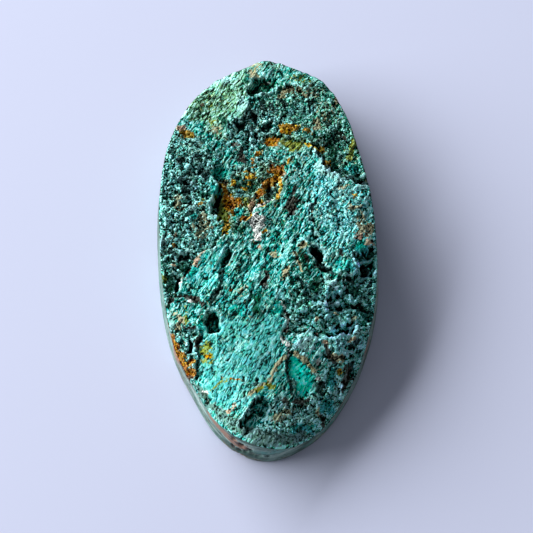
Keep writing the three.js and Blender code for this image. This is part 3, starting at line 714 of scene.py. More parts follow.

# Veins and stained lines, and dark lines of painted shade along cracks: width, strength, points
veins = {
    "beige": (
        (0.22, 0.72, ((0, -15.2), (0.4, -14.2), (1, -13.2), (1.7, -12.3))),
        (0.2, 1, ((-2, -16.4), (-1.2, -15.9), (-0.4, -15.4))),
        (0.2, 1.1, ((2.9, -12), (3.9, -12.8), (5, -13.9))),
        (0.12, 0.9, ((2.9, -0.9), (3.2, -2), (3.7, -2.9))),
    ),
    "olive": (
        (0.13, 0.55, ((-4.7, -14.6), (-3.6, -14.9), (-2.7, -15))),
        (0.1, 0.5, ((-6, -16), (-4.8, -15.2), (-4.2, -14.6))),
    ),
    "rust": ((0.07, 0.8, ((-4.8, -14.5), (-3.8, -14.8), (-2.8, -14.95))),),
    "ochre": ((0.14, 1.2, ((1.35, 7.8), (1.4, 6.6), (1.05, 5.3))),),
    "chalk": (
        (0.1, 0.9, ((-1.5, 3.9), (-0.9, 4.4), (-0.2, 5), (0.6, 5.1))),
        (0.1, 0.9, ((1.2, -6.2), (1.7, -7), (2, -8.2), (2.1, -9.4))),
    ),
    "peach": ((0.08, 0.7, ((-9.2, -4), (-8.8, -3.1), (-8.2, -2.4), (-6.8, -0.9), (-5.8, -0.1))),),
    "plum": (
        (0.14, 0.9, ((-10.6, -6.6), (-9.8, -5.9), (-8.6, -5.6), (-7.4, -5.8), (-6.9, -6.5))),
        (0.18, 0.9, ((6, -10.8), (6.3, -11.8), (6.9, -13))),
    ),
    # painted shade: dark lines in the shade along cracks
    "paintedShade": (
        (0.14, 1.2, ((2, -12.2), (1.95, -13.5), (2.1, -15), (2.5, -16.4))),
        (0.16, 1.1, ((5.6, -2), (6.1, -2.7), (6.9, -3.2))),
        (0.12, 1, ((4.95, 5.6), (4.9, 4.1), (4.8, 2.9), (4.9, 1.6))),
        (0.14, 1, ((-4.6, -2.6), (-4.8, -4.2), (-5.3, -5.5), (-6, -6.6))),
        (0.1, 0.9, ((-1.6, -9), (-0.9, -8.7), (-0.3, -8.3))),
    ),
    "moss": ((0.2, 0.8, ((-1.7, -5.4), (-1.1, -6.6), (-0.5, -8.2))),),
}

# How the stains lie: sizes in mm, and the first seed of each table
paint = {
    "toneFray": 1.5,
    "toneFraySize": 1.6,
    "toneSeed": 40,
    "patchFray": 0.5,
    "patchFraySize": 0.8,
    "mostFray": 1.4,
    "patchSeed": 60,
    "veinNip": 0.4,  # how much of the nips a vein follows
    "spotEdge": (0.6, 1.4),  # shares of its size between which a mark fades out
    "veinEdge": (0.5, 1.6),
    "wallEdge": (0.5, 1.4),
    "wallSeed": 90,
    "band": 0.5,
    "bandEdge": (0.25, 0.8),
    "bandSize": 7,
    "bandDraw": 3.5,
    "bandSeed": 80,
    "farSide": math.radians(112),
    "farEdge": (0.1, 0.6),
}


def frayed(cover, points, seed):
    # a patch's cover with its edge frayed into specks
    fray = 1 + paint["patchFray"] * broken(points, paint["patchFraySize"], seed, 3)
    return cover * np.clip(fray, 0, paint["mostFray"])


def paintLid(points, wx, wy):
    # how much of each tone and stain, and of the painted shade, lies on each point of the break
    x, y, _ = points.T
    cover = {}
    for seed, (name, (edge, outlines)) in enumerate(tones.items(), paint["toneSeed"]):
        inside = np.max([insideBy(wx, wy, outline) for outline in outlines], axis=0)
        fray = paint["toneFray"] * edge * broken(points, paint["toneFraySize"], seed, 4)
        cover[name] = rise(inside + fray, -edge, edge)
    veinX, veinY = (plain + paint["veinNip"] * (nipped - plain) for plain, nipped in ((x, wx), (y, wy)))
    for seed, (name, spots) in enumerate(patches.items(), paint["patchSeed"]):
        mask = np.zeros(len(points))
        for cx, cy, halfX, halfY, strength, *turn in spots:
            loose = min(1, max(halfX, halfY) / smallSpot)
            away = spot(x + loose * (wx - x), y + loose * (wy - y), cx, cy, halfX, halfY, *turn)
            mask = np.maximum(mask, strength * (1 - rise(away, *paint["spotEdge"])))
        for width, strength, line in veins.get(name, ()):
            away, _ = lineAway(veinX, veinY, line)
            mask = np.maximum(mask, strength * (1 - rise(np.abs(away) / width, *paint["veinEdge"])))
        cover[name] = frayed(mask, points, seed)
    return cover


# Marks on the ground wall: degrees round the stone, height, half width, half height, strength
wallPatches = {
    "moss": ((254, 1.5, 2.6, 0.9, 1), (262, 1.3, 2.4, 0.8, 0.8), (245, 1, 2, 0.6, 0.7),
        (228, 1.6, 3, 0.9, 0.6), (120, 1.4, 3.4, 0.7, 0.6), (300, 3, 2.6, 0.8, 0.6)),
    "rust": ((247, 4, 3.2, 0.8, 1.1), (253, 3.3, 1.6, 0.6, 1.2), (212, 3.4, 1.2, 1.4, 0.8),
        (205, 4.6, 1.6, 0.9, 0.7), (96, 1.6, 3, 0.6, 0.7), (140, 4.4, 1.6, 0.8, 0.6),
        (20, 2.2, 2.6, 0.5, 0.6), (332, 2.6, 1.4, 0.8, 0.8)),
    "plum": ((254, 3.9, 1.2, 0.35, 0.9), (252, 1.8, 1.8, 0.35, 0.6), (330, 1.4, 2.2, 0.5, 0.7),
        (118, 3.6, 2.4, 0.5, 0.6), (175, 2.2, 2, 0.7, 0.6)),
    "chalk": ((226, 3, 3.6, 0.5, 0.8), (262, 4.2, 2.2, 0.5, 0.5), (150, 1.8, 3, 0.4, 0.7),
        (60, 2.8, 3.4, 0.5, 0.6), (5, 3.3, 2.2, 0.3, 0.6)),
    "teal": ((272, 3.4, 3, 1, 0.6), (300, 1.2, 4, 0.8, 0.6), (188, 5.2, 3.4, 1, 0.6), (80, 3.8, 3, 1, 0.7),
        (30, 1, 4, 0.8, 0.6)),
    "beige": ((225, 4.4, 2.6, 0.35, 0.7), (236, 2, 3, 0.3, 0.6), (160, 5.8, 2.4, 0.4, 0.6),
        (345, 2.8, 2, 0.4, 0.7)),
}


def wallSpot(points, degrees, height, halfWide, halfHigh):
    # 0 at the middle of an oval spot on the wall, 1 at its edge
    x, y, z = points.T
    (cx,), (cy,) = wallPlace(np.array([math.radians(degrees)]), np.array([height]))
    return np.hypot(np.hypot(x - cx, y - cy) / halfWide, (z - height) / halfHigh)


def paintWall(points):
    # the same for the ground wall and base, where bands of the ore run round the stone
    x, y, _ = points.T
    drawn = points * (1, 1, paint["bandDraw"])
    cover = {}
    for k, (name, spots) in enumerate(wallPatches.items()):
        band = broken(drawn, paint["bandSize"], paint["bandSeed"] + k, 3)
        mask = paint["band"] * rise(band, *paint["bandEdge"])
        for *place, strength in spots:
            away = wallSpot(points, *place)
            mask = np.maximum(mask, strength * (1 - rise(away, *paint["wallEdge"])))
        cover[name] = frayed(mask, drawn, paint["wallSeed"] + k)
    # painted shade: the wall is made darker on its far side, which faces the window, so that side doesn't
    # look over-lit
    toFar = np.cos(np.arctan2(y, x) - paint["farSide"])
    cover["paintedWallShade"] = rise(toFar, *paint["farEdge"])  # the far side is darker
    return cover


# Pits in the ground wall: degrees round the stone, height, half width, half height, depth
wallPits = {
    "besideRust": (256, 3.9, 0.4, 0.6, 0.5),
    "nearRim": (252, 4.6, 0.35, 0.35, 0.4),
    "slit": (236, 4.4, 0.4, 0.25, 0.35),
    "middle": (260.5, 3.4, 0.45, 0.6, 0.5),
    "rowA": (258.5, 2.6, 0.45, 0.4, 0.45),
    "rowB": (262, 2.3, 0.5, 0.4, 0.45),
    "rowC": (265.5, 2.2, 0.5, 0.4, 0.4),
    "rowD": (269.5, 2.3, 0.4, 0.35, 0.35),
    "rowE": (255.5, 2, 0.4, 0.4, 0.4),
    "rowF": (252, 2.2, 0.35, 0.4, 0.35),
    "baseChip": (256, 0.2, 0.8, 0.45, 0.5),
}

# How the grinding left the wall, in mm. Rows as in grain.
wallGrain = {
    "inset": 0.02,
    "swell": (0.03, 2.5, 20, 2),
    "ragged": (0.3, 0.45, 21),
    # small holes that it opened all round, more of them on some stretches
    "spacing": (1.5, 22),  # mm and seed
    "holeDepth": 0.25,
    "holeFloor": 0.3,  # share of its size
    "leastHole": 0.06,
    "moreHole": 0.16,
    "opened": 0.55,  # the throw past which a hole is open
    "stretches": (1, 7, 23),
    "pitEdge": (0.4, 1.1),
    "foot": 0.4,  # up to this height it is kept smoother
}


def wallRelief(points):
    # how far the wall stands in from its ground face
    inset = wallGrain["inset"] + draw(broken, points, wallGrain["swell"])
    ragged = draw(waves, points, wallGrain["ragged"])
    for *place, depth in wallPits.values():
        inset += depth * (1 - rise(wallSpot(points, *place) + ragged, *wallGrain["pitEdge"]))
    near, _, _, number = crumbs(points, *wallGrain["spacing"])
    _, chance, size = throws[number].T
    size = wallGrain["moreHole"] * size ** 3 * (1 + draw(waves, points, wallGrain["stretches"]))
    size += wallGrain["leastHole"]
    hole = (1 - rise(near, wallGrain["holeFloor"] * size, size)) * (chance > wallGrain["opened"])
    return (inset + wallGrain["holeDepth"] * hole) * rise(points[:, 2], 0, wallGrain["foot"])


def blurred(height, reach):
    # the mean height round each point of the lid's grid, within about this many mm
    steps = max(1, round(reach / stone["cellSize"]))
    width = 2 * steps + 1
    for _ in range(2):
        padded = np.pad(height, ((steps, steps), (0, 0)), mode="edge")
        total = np.cumsum(np.insert(padded, 0, 0, axis=0), axis=0)
        height = ((total[width:] - total[:-width]) / width).T
    return height


lidLevel, baseLevel, wallOut = 0.999, 0.001, 0.9999  # where lid, base and wall begin on the blank


def meshNumbers(items, name):
    numbers = np.zeros(len(items), int)
    items.foreach_get(name, numbers)
    return numbers


# Where the unrolled surfaces lie on their sheet, in mm
sheet = {
    "size": 62.0,
    "lidMiddle": (13, 23),
    "baseMiddle": 40,
    "wallLeft": 1,
    "wallWide": 56,
    "wallFoot": 46.5,
    "wallStep": 8,
}


def unrollUV(mesh, place, angle, level):
    # lid and base laid side by side and the wall unrolled in two strips above them
    loops = meshNumbers(mesh.loops, "vertex_index")
    starts = meshNumbers(mesh.polygons, "loop_start")
    owner = np.repeat(np.arange(len(starts)), meshNumbers(mesh.polygons, "loop_total"))
    lowest, highest = (kind.reduceat(level[loops], starts)[owner] for kind in (np.minimum, np.maximum))
    first = angle[loops][starts][owner]
    turn = first + np.mod(angle[loops] - first + math.pi, 2 * math.pi) - math.pi
    x, y, z = place[loops].T
    onBase = highest < baseLevel
    onWall = (lowest < lidLevel) & ~onBase
    half = np.mod(first, 2 * math.pi) >= math.pi
    sweep = np.where(half, np.mod(turn, 2 * math.pi) - math.pi, turn)
    u = np.where(onBase, sheet["baseMiddle"] - x, sheet["lidMiddle"][0] + x)
    u = np.where(onWall, sheet["wallLeft"] + sweep / math.pi * sheet["wallWide"], u)
    v = np.where(onWall, sheet["wallFoot"] + z + sheet["wallStep"] * half, sheet["lidMiddle"][1] + y)
    layer = mesh.uv_layers.new(name="OFBake")
    layer.data.foreach_set("uv", (np.stack([u, v], 1) / sheet["size"]).astype(np.float32).ravel())


def shapeStone(u, v, level):
    # moves each point of the blank, which lies from -1 to 1 in u and v, to its place in mm
    across, along = u * np.sqrt(1 - v * v / 2), v * np.sqrt(1 - u * u / 2)
    angle, out = np.arctan2(along, across), np.hypot(across, along)
    onLid, onBase, onWall = level > lidLevel, level < baseLevel, out > wallOut
    lidX, lidY = wallPlace(angle, around(stone["wallTop"], angle))
    lidX, lidY = lidX * out, lidY * out
    coarse = coarseHeight(lidX, lidY, out, angle)
    plan = np.stack([lidX, lidY + (coarse - stone["planLevel"]) * stone["slant"], 0 * lidX], 1)
    top, rough, smooth, wx, wy = topHeight(coarse, plan)
    soft = stone["roofSoft"]
    roof = boxHigh[2] - stone["roofGap"]
    top = np.where(top > roof - soft, roof - soft * np.exp(-(top - roof + soft) / soft), top)
    top = coarse + (top - coarse) * (1 - stone["rimCalm"] * rise(out, *stone["calmEdge"]))
    top -= stone["rimWear"] * rise(out, *stone["wearEdge"]) * (1 + draw(waves, plan, grain["rimWear"]))

    z = np.where(onLid, top, level * top)
    z = np.where(np.rint(level * stone["wallRows"]) == 1, stone["baseChamfer"], z)
    wallX, wallY = wallPlace(angle, z)
    inner = onLid & ~onWall
    x = np.where(inner, lidX, np.where(onWall, wallX, wallX * out))
    y = np.where(inner, lidY, np.where(onWall, wallY, wallY * out))
    place = np.stack([x, y, z], 1)
    outward = np.stack([np.cos(angle) / stone["halfWide"], np.sin(angle) / stone["halfLong"], 0 * angle], 1)
    outward /= np.linalg.norm(outward, axis=1)[:, None]
    ground = onWall & ~onBase
    inset = np.zeros(len(place))
    inset[ground] = wallRelief(place[ground])
    place -= outward * inset[:, None]
    place[:, :2] -= (place.max(axis=0) + place.min(axis=0))[:2] / 2
    fit = (boxHigh - boxLow)[:2] / (place.max(axis=0) - place.min(axis=0))[:2]
    place[:, :2] *= np.minimum(fit, 1)

    column = np.rint((u[onLid] + 1) / 2 * stone["acrossCells"]).astype(int)
    row = np.rint((v[onLid] + 1) / 2 * stone["alongCells"]).astype(int)
    grid = np.zeros((stone["alongCells"] + 1, stone["acrossCells"] + 1))
    grid[row, column] = top[onLid]
    # fine is how far each point stands above or sinks below the mean round it; the materials turn it into
    # painted highlight on crests and painted shade in gaps and in the wall's sunk places
    fine = -stone["fineInset"] * inset
    fine[onLid] += (grid - blurred(blurred(grid, stone["fineReach"]), stone["fineReach"]))[row, column]
    cover = {"fine": fine, "rough": rough * onLid, "smooth": smooth * onLid}
    lidCover = paintLid(plan[onLid], wx[onLid], wy[onLid])
    wallCover = paintWall(place[~onLid])
    for name in {**lidCover, **wallCover}:
        cover[name] = np.zeros(len(place))
        cover[name][onLid] = lidCover.get(name, 0)
        cover[name][~onLid] = wallCover.get(name, 0)
    return place, angle, cover


def makeStone():
    bm = makeBlank()
    mesh = bpy.data.meshes.new("stone_surface")
    bm.to_mesh(mesh)
    bm.free()
    blank = np.zeros(len(mesh.vertices) * 3)
    mesh.vertices.foreach_get("co", blank)
    u, v, level = blank.reshape(-1, 3).T
    place, angle, cover = shapeStone(u, v, level)
    mesh.vertices.foreach_set("co", (place * mm).ravel())
    for name, values in cover.items():
        attribute = mesh.attributes.new(name, "FLOAT", "POINT")
        attribute.data.foreach_set("value", values.astype(np.float32))
    unrollUV(mesh, place, angle, level)
    corners = meshNumbers(mesh.loops, "vertex_index")
    lowest = np.minimum.reduceat(level[corners], meshNumbers(mesh.polygons, "loop_start"))
    groundFace = lowest < lidLevel
    mesh.polygons.foreach_set("material_index", groundFace.astype(np.int32))
    mesh.polygons.foreach_set("use_smooth", np.ones(len(mesh.polygons), bool))
    mesh.update()
    piece = bpy.data.objects.new("stone_surface", mesh)
    bpy.context.scene.collection.objects.link(piece)
    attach(piece, "root")
    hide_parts("stone")
    return piece


surface = makeStone()
print("stone:", len(surface.data.polygons), "faces")


def hexColor(text):
    # sRGB hex to the linear values that the shader wants
    parts = [int(text[k:k + 2], 16) / 255 for k in (1, 3, 5)]
    return (*(part / 12.92 if part <= 0.04045 else ((part + 0.055) / 1.055) ** 2.4 for part in parts), 1)


def addNode(tree, kind, settings, inputs, output=0):
    # adds a node with its settings, and its inputs as values or links, and gives back one output
    node = tree.nodes.new("ShaderNode" + kind)
    for name, value in settings.items():
        setattr(node, name, value)
    for name, value in inputs.items():
        if isinstance(value, bpy.types.NodeSocket):
            tree.links.new(value, node.inputs[name])
        else:
            node.inputs[name].default_value = value
    return node.outputs[output]


def newMaterial(name, roughness, specular):
    material = bpy.data.materials.new(name)
    material.use_nodes = True
    tree = material.node_tree
    shader = tree.nodes["Principled BSDF"]
    shader.inputs["Roughness"].default_value = roughness
    shader.inputs["Specular IOR Level"].default_value = specular
    return material, tree, shader


# Settings that many nodes share, and the places of a Mix node's numbered sockets
multiply = {"operation": "MULTIPLY"}
multiplyAdd = {"operation": "MULTIPLY_ADD"}
smoothStep = {"interpolation_type": "SMOOTHSTEP"}
colorMix = {"data_type": "RGBA"}
mixFactor, mixLow, mixHigh, mixUnder, mixOver, mixResult = 0, 2, 3, 6, 7, 2
perMetre = 1000.0  # a pattern scale is this over its size in mm


def layColors(tree, color, layers, calm=None):
    # lays colours one over the next: what drives each, where its edge starts and ends, strength and hex
    for driver, start, end, strength, layer in layers:
        share = addNode(tree, "MapRange", smoothStep,
                        {"Value": driver, "From Min": start, "From Max": end, "To Max": strength})
        if calm is not None:
            share = addNode(tree, "Math", multiply, {0: share, 1: calm})
        color = addNode(tree, "Mix", colorMix,
                        {mixFactor: share, mixUnder: color, mixOver: hexColor(layer)}, mixResult)
    return color


brokenOre = {
    "roughness": 0.85,
    "specular": 0.05,
    "body": "#3bb2a8",
    # the right, bottom, block and facet tones are also made lighter than their ore, as painted light, to
    # make up for the shade those places lie in
    "tones": {"low": "#6abfbb", "slab": "#5ccbc4", "pale": "#7ef6f8", "left": "#8cfeec", "block": "#60ffea",
              "upperRight": "#56c09c", "top": "#187e74", "right": "#1cffd8", "bottom": "#7effdc",
              "sage": "#8ec49c", "crown": "#83beaa", "basin": "#7eab72", "pit": "#2ebb9c",
              "facet": "#34fce4", "hollow": "#44c0ba"},
    # the near-black one among these stains is painted shade, for holes, gaps and the shade under ledges
    "stains": {"slate": "#68a4a0", "teal": "#2cbcaa", "mint": "#aeeade", "moss": "#1c5c44",
               "paintedShade": "#0e1c1a", "beige": "#b4ac86", "olive": "#8c9236", "ochre": "#cc961c",
               "rust": "#bc7414", "plum": "#4c3c34", "peach": "#cca88e", "worn": "#6e9488",
               "chalk": "#f2f4ec"},
    # deep, frost, fleck and tan are laid at random; deep also darkens low places as painted shade
    "deep": "#045a44",
    "frost": "#78e4d8",
    "fleck": "#8f8a56",
    "tan": "#c0a078",
    # painted shade near black in the gaps, and painted highlight on the crests
    "gap": "#000a06",
    "crest": "#aeeadc",
    # sizes in mm
    "bendSize": 0.9,
    "bend": 0.5,
    "flankTurn": 57,  # degrees
    "foldDraw": 4.0,
    "flakeDraw": 1.6,
    "flakeSize": 0.28,
    "grainSize": 0.17,
    "speckSize": 0.14,
    "driftSize": 1.5,
    "foldSize": 0.95,
    "curlSize": 0.75,
    "folds": 6.5,  # layers that crop out over that size
    "foldDepth": 0.11,
    "foldRise": 3.3,  # slopes of a layer's steep and slack sides
    "foldFall": 1.43,
    "foldMiddle": 0.38,
    "flakeTilt": 0.9,
    "grainTilt": 0.85,
    "flakeStep": 0.08,
    "grooveDepth": 0.1,
    # what each of these gains over the roughness, and what it has where there is none
    "foldByRough": (-0.3, 1.15),
    "grainByRough": (0.7, 0.5),
    "smoothLoss": 0.8,  # share of the grain that smooth places lack
    # how much each of these raises a spot towards a painted highlight or lowers it towards painted shade;
    # the bottom, right, facet and block entries also lift those zones, which lie in shade, as painted light
    "levels": {"fine": 3.5, "rough": 0.05, "bottom": 0.2, "right": 0.2, "facet": 0.15, "block": 0.2,
               "chalk": 0.08, "pale": 0.08},
    "foldLevel": 1.4,
    "flakeLevel": 0.5,
    "grainLevel": 0.6,
    "grooveLevel": 0.7,
    "speckLevel": 1.0,
    # how far it goes towards crest and gap everywhere, and how much further in each of these
    "firstReach": 1.15,
    "reach": {"rough": 0.75, "left": 0.3, "right": 0.75, "bottom": 1.0, "block": 0.7, "low": -0.45,
              "slab": -0.15, "facet": -0.4},
}


def makeBrokenOre():
    # Copper ore, mostly chrysocolla and malachite, as it broke: dull and grainy, with painted shade near
    # black in the gaps and painted highlight on the pale crests, so the eye reads crumbly rock
    look = brokenOre
    material, tree, shader = newMaterial("copperOreBroken", look["roughness"], look["specular"])
    cover = {name: addNode(tree, "Attribute", {"attribute_name": name}, {}, "Fac")
             for name in ("fine", "rough", "smooth", *look["tones"], *look["stains"])}
    place = addNode(tree, "TexCoord", {}, {}, "Object")
    sway = addNode(tree, "TexNoise", {},
                   {"Vector": place, "Scale": perMetre / look["bendSize"], "Detail": 2.0}, "Color")
    bent = addNode(tree, "VectorMath", multiplyAdd, {0: sway, 1: (look["bend"] * mm,) * 3, 2: place})
    drawn, flaky = (addNode(tree, "Mapping", {"vector_type": "TEXTURE"},
                            {"Vector": bent, "Rotation": (0, 0, math.radians(look["flankTurn"])),
                             "Scale": (look[stretch], 1, 1)}) for stretch in ("foldDraw", "flakeDraw"))
    drift, drawnOut, curled, streak, speck = (
        addNode(tree, "TexNoise", {},
                {"Vector": vector, "Scale": perMetre / look[size], "Detail": detail, "Roughness": 0.6})
        for vector, size, detail in ((drawn, "driftSize", 4.0), (drawn, "foldSize", 3.0),
                                     (bent, "curlSize", 3.0), (drawn, "speckSize", 3.0),
                                     (bent, "speckSize", 3.0)))
    edge = addNode(tree, "TexVoronoi", {"feature": "DISTANCE_TO_EDGE"},
                   {"Vector": flaky, "Scale": perMetre / look["flakeSize"]})
    groove = addNode(tree, "MapRange", smoothStep, {"Value": edge, "From Min": 0.0, "From Max": 0.16})

    # thin layers that crop out one above the next, drawn out down the flank and curled where it is rough
    ragged = addNode(tree, "MapRange", smoothStep,
                     {"Value": cover["rough"], "From Min": 0.25, "From Max": 0.5})
    lie, speck = (addNode(tree, "Mix", {}, {mixFactor: ragged, mixLow: calmer, mixHigh: rougher})
                  for calmer, rougher in ((drawnOut, curled), (streak, speck)))
    layer = addNode(tree, "Math", multiply, {0: lie, 1: look["folds"]})
    part = addNode(tree, "Math", {"operation": "FRACT"}, {0: layer})
    up = addNode(tree, "Math", multiply, {0: part, 1: look["foldRise"]})
    down = addNode(tree, "Math", multiplyAdd, {0: part, 1: -look["foldFall"], 2: look["foldFall"]})
    fold = addNode(tree, "Math", {"operation": "MINIMUM"}, {0: up, 1: down})
    byRough, first = look["foldByRough"]
    plain = addNode(tree, "Math", multiplyAdd, {0: cover["rough"], 1: byRough, 2: first})
    fold = addNode(tree, "Math", multiply, {0: fold, 1: plain})

    # flakes and grains: each cell has a colour of its own, three even throws, and a tilt of its own
    cellThrows = []
    byRough, first = look["grainByRough"]
    coarse = addNode(tree, "Math", multiplyAdd, {0: cover["rough"], 1: byRough, 2: first})
    height = 0.0
    for vector, name in ((flaky, "flake"), (bent, "grain")):
        cells = addNode(tree, "TexVoronoi", {},
                        {"Vector": vector, "Scale": perMetre / look[name + "Size"]}, "Position")
        color = cells.node.outputs["Color"]
        away = addNode(tree, "VectorMath", {"operation": "SUBTRACT"}, {0: vector, 1: cells})
        lean = addNode(tree, "VectorMath", {"operation": "SUBTRACT"}, {0: color, 1: (0.5, 0.5, 0.5)})
        slope = addNode(tree, "VectorMath", {"operation": "DOT_PRODUCT"}, {0: away, 1: lean}, "Value")
        slope = addNode(tree, "Math", multiply, {0: slope, 1: coarse})
        height = addNode(tree, "Math", multiplyAdd, {0: slope, 1: look[name + "Tilt"], 2: height})
        cellThrows += addNode(tree, "SeparateColor", {}, {"Color": color}).node.outputs
    high, hue, odd, grainHigh, grainHue, grainOdd = cellThrows
    for part, name in ((groove, "grooveDepth"), (fold, "foldDepth"), (high, "flakeStep")):
        height = addNode(tree, "Math", multiplyAdd, {0: part, 1: look[name] * mm, 2: height})

    # how far up towards a crest or down towards a gap each place stands, which sets the painted highlight
    # and painted shade below
    level = 0.0
    for part, middle, name in ((high, 0.5, "flake"), (grainHigh, 0.5, "grain"), (speck, 0.5, "speck"),
                               (groove, 0.75, "groove")):
        part = addNode(tree, "Math", {"operation": "SUBTRACT"}, {0: part, 1: middle})
        level = addNode(tree, "Math", multiplyAdd, {0: part, 1: look[name + "Level"], 2: level})
    folded = look["foldMiddle"] * look["foldLevel"]
    level = addNode(tree, "Math", multiplyAdd, {0: level, 1: coarse, 2: -folded})
    for part, weight in (*((cover[name], weight) for name, weight in look["levels"].items()),
                         (fold, look["foldLevel"])):
        level = addNode(tree, "Math", multiplyAdd, {0: part, 1: weight, 2: level})
    reach = look["firstReach"]
    for name, more in look["reach"].items():
        reach = addNode(tree, "Math", multiplyAdd, {0: cover[name], 1: more, 2: reach})
    level = addNode(tree, "Math", multiply, {0: level, 1: reach})

    color = hexColor(look["body"])
    for name, layer in look["tones"].items():
        color = addNode(tree, "Mix", colorMix,
                        {mixFactor: cover[name], mixUnder: color, mixOver: hexColor(layer)}, mixResult)
    # patches, flakes and grains that are deeper or frostier than the rest, and painted shade that deepens
    # low places
    calm = addNode(tree, "Math", multiplyAdd, {0: cover["smooth"], 1: -look["smoothLoss"], 2: 1.0})
    color = layColors(tree, color, (
        (drift, 0.5, 0.3, 0.75, look["deep"]), (drift, 0.52, 0.72, 0.55, look["frost"]),
        (level, 0.4, -0.1, 0.6, look["deep"]), (hue, 0.4, 0.0, 0.6, look["deep"]),
        (hue, 0.65, 1.0, 0.6, look["frost"]), (grainHue, 0.35, 0.0, 0.45, look["deep"]),
        (grainOdd, 0.89, 0.96, 0.6, look["fleck"]), (grainHue, 0.93, 0.97, 0.5, look["tan"])), calm)
    # painted highlight: paler on the crests
    color = layColors(tree, color, ((level, 0.4, 1.1, 0.65, look["crest"]),))
    # how readily each grain takes a stain, how light it is, lighter on crests and darker in gaps as painted
    # light, and how blue rather than green
    own = {"chance": -0.7, "light": 0.93, "blue": 0.465}
    for name, part, weight in (("chance", odd, 0.35), ("chance", grainOdd, 0.35),
                               ("light", grainHue, 0.3), ("light", level, 0.29),
                               ("blue", odd, 0.05), ("blue", level, 0.02)):
        own[name] = addNode(tree, "Math", multiplyAdd, {0: part, 1: weight, 2: own[name]})
    # stains, and the painted shade with them, take grain after grain, more of them the stronger the stain
    for name, layer in look["stains"].items():
        taken = addNode(tree, "Math", {"operation": "ADD"}, {0: cover[name], 1: own["chance"]})
        color = layColors(tree, color, ((taken, -0.05, 0.2, 0.9, layer),))
    # painted highlight paler on the crests, and painted shade deeper below and near black in the gaps
    strong = addNode(tree, "MapRange", {},
                     {"Value": level, "From Min": -0.1, "From Max": 1.2, "To Min": 1.22, "To Max": 0.95})
    color = addNode(tree, "HueSaturation", {},
                    {"Hue": own["blue"], "Saturation": strong, "Value": own["light"], "Color": color})
    color = layColors(tree, color, ((level, 0.0, -0.3, 0.97, look["gap"]),))
    tree.links.new(color, shader.inputs["Base Color"])
    normal = addNode(tree, "Bump", {}, {"Height": height, "Strength": calm, "Distance": 1.0})
    tree.links.new(normal, shader.inputs["Normal"])
    return material


groundOre = {
    "roughness": 0.6,
    "specular": 0.4,
    "body": "#74948a",
    "dark": "#35564a",
    # painted shade for the wall's side towards the window
    "paintedWallShade": "#3c5e52",
    "pale": "#aec4b8",
    "stains": {"moss": "#1c4a3c", "teal": "#4a958b", "chalk": "#b0c0b6", "beige": "#a7a184",
               "rust": "#94664e", "plum": "#44382f"},
    "speck": "#1c3a34",
    # painted shade: near black in pits and where the wall is sunk in
    "gap": "#07100e",
    # sizes in mm
    "scratchSize": 0.3,
    "scratchDepth": 0.07,
    "speckSize": 0.35,
    "pitSize": 1.3,
    "blotchSize": 2.6,
    # how each of these is drawn out or in
    "blotchDraw": (1, 1, 3.5),
    "scratchDraw": (0.12, 0.12, 1),
    "pitDraw": (1, 1, 1.7),
    # what the throw of a pit and the specks round it do to its size
    "pitThrow": 0.3,
    "pitSpeck": -0.65,
}


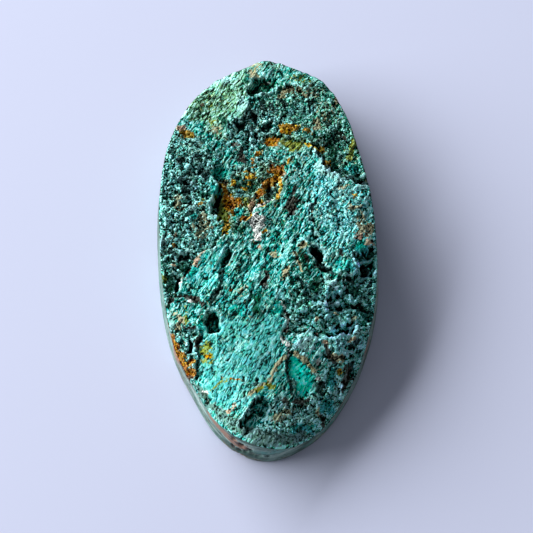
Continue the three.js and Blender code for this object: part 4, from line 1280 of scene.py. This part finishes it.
def makeGroundOre():
    # The same ore sawn and ground with coarse grit: smoother, greyer and evener than the break,
    # with fine scratches round the stone, and painted shade in its pits and on its side towards the window
    look = groundOre
    material, tree, shader = newMaterial("copperOreGround", look["roughness"], look["specular"])
    cover = {name: addNode(tree, "Attribute", {"attribute_name": name}, {}, "Fac")
             for name in ("fine", "paintedWallShade", *look["stains"])}
    place = addNode(tree, "TexCoord", {}, {}, "Object")
    banded, scratched, pitted = (addNode(tree, "Mapping", {}, {"Vector": place, "Scale": look[scale]})
                                 for scale in ("blotchDraw", "scratchDraw", "pitDraw"))
    lines, speck, blotch = (
        addNode(tree, "TexNoise", {},
                {"Vector": vector, "Scale": perMetre / look[size], "Detail": detail, "Roughness": 0.6})
        for vector, size, detail in ((scratched, "scratchSize", 3.0), (place, "speckSize", 3.0),
                                     (banded, "blotchSize", 4.0)))
    pit = addNode(tree, "TexVoronoi", {}, {"Vector": pitted, "Scale": perMetre / look["pitSize"]})
    size = addNode(tree, "SeparateColor", {}, {"Color": pit.node.outputs["Color"]})
    for part, weight in ((size, "pitThrow"), (speck, "pitSpeck")):
        pit = addNode(tree, "Math", multiplyAdd, {0: part, 1: look[weight], 2: pit})
    layers = [(blotch, 0.42, 0.62, 1.0, look["dark"]), (lines, 0.5, 0.66, 0.7, look["pale"]),
              (lines, 0.46, 0.32, 0.7, look["dark"]),
              # painted shade on the wall's side towards the window
              (cover["paintedWallShade"], 0.0, 1.0, 0.65, look["paintedWallShade"])]
    for name, layer in look["stains"].items():
        taken = addNode(tree, "Math", {"operation": "ADD"}, {0: cover[name], 1: speck})
        layers.append((taken, 0.8, 1.3, 0.85, layer))
    # painted shade: near black in the pits and where the wall is sunk in
    layers += [(speck, 0.56, 0.68, 0.85, look["speck"]), (pit, -0.06, -0.14, 0.9, look["gap"]),
               (cover["fine"], -0.05, -0.16, 0.95, look["gap"])]
    tree.links.new(layColors(tree, hexColor(look["body"]), layers), shader.inputs["Base Color"])
    normal = addNode(tree, "Bump", {}, {"Height": lines, "Distance": look["scratchDepth"] * mm})
    tree.links.new(normal, shader.inputs["Normal"])
    return material


surface.data.materials.append(makeBrokenOre())
surface.data.materials.append(makeGroundOre())
print("materials: ore as broken and ore as ground")

stage = {
    "floorSize": 3.0,  # m
    "floorColor": "#d1d4e9",
    "floorRoughness": 0.9,
    "floorSpecular": 0.2,
    "window": (-0.624, 0.36, 0.2985),  # m
    "windowSize": (1.32, 0.48),
    "windowPower": 21.3,  # W
    "windowColor": (0.93, 0.96, 1.0),
    "roomColor": (0.85, 0.9, 1.0),
    "roomStrength": 0.18,
}


def makeFloor():
    # matt card
    bm = bmesh.new()
    bmesh.ops.create_grid(bm, x_segments=1, y_segments=1, size=stage["floorSize"] / 2)
    mesh = bpy.data.meshes.new("floor")
    bm.to_mesh(mesh)
    bm.free()
    floor = bpy.data.objects.new("floor", mesh)
    bpy.context.scene.collection.objects.link(floor)
    material, tree, shader = newMaterial("paleCardMatt", stage["floorRoughness"], stage["floorSpecular"])
    shader.inputs["Base Color"].default_value = hexColor(stage["floorColor"])
    mesh.materials.append(material)


def makeWindow():
    data = bpy.data.lights.new("window", "AREA")
    data.shape = "RECTANGLE"
    data.size, data.size_y = stage["windowSize"]
    data.energy = stage["windowPower"]
    data.color = stage["windowColor"]
    window = bpy.data.objects.new("window", data)
    bpy.context.scene.collection.objects.link(window)
    window.location = stage["window"]
    window.rotation_euler = (-Vector(stage["window"])).to_track_quat("-Z", "Y").to_euler()


def makeRoom():
    world = bpy.data.worlds.new("room")
    bpy.context.scene.world = world
    world.use_nodes = True
    background = world.node_tree.nodes["Background"]
    background.inputs["Color"].default_value = (*stage["roomColor"], 1)
    background.inputs["Strength"].default_value = stage["roomStrength"]
    bpy.context.scene.view_settings.view_transform = "Standard"


makeFloor()
makeWindow()
makeRoom()
print("stage: floor, window and room light")
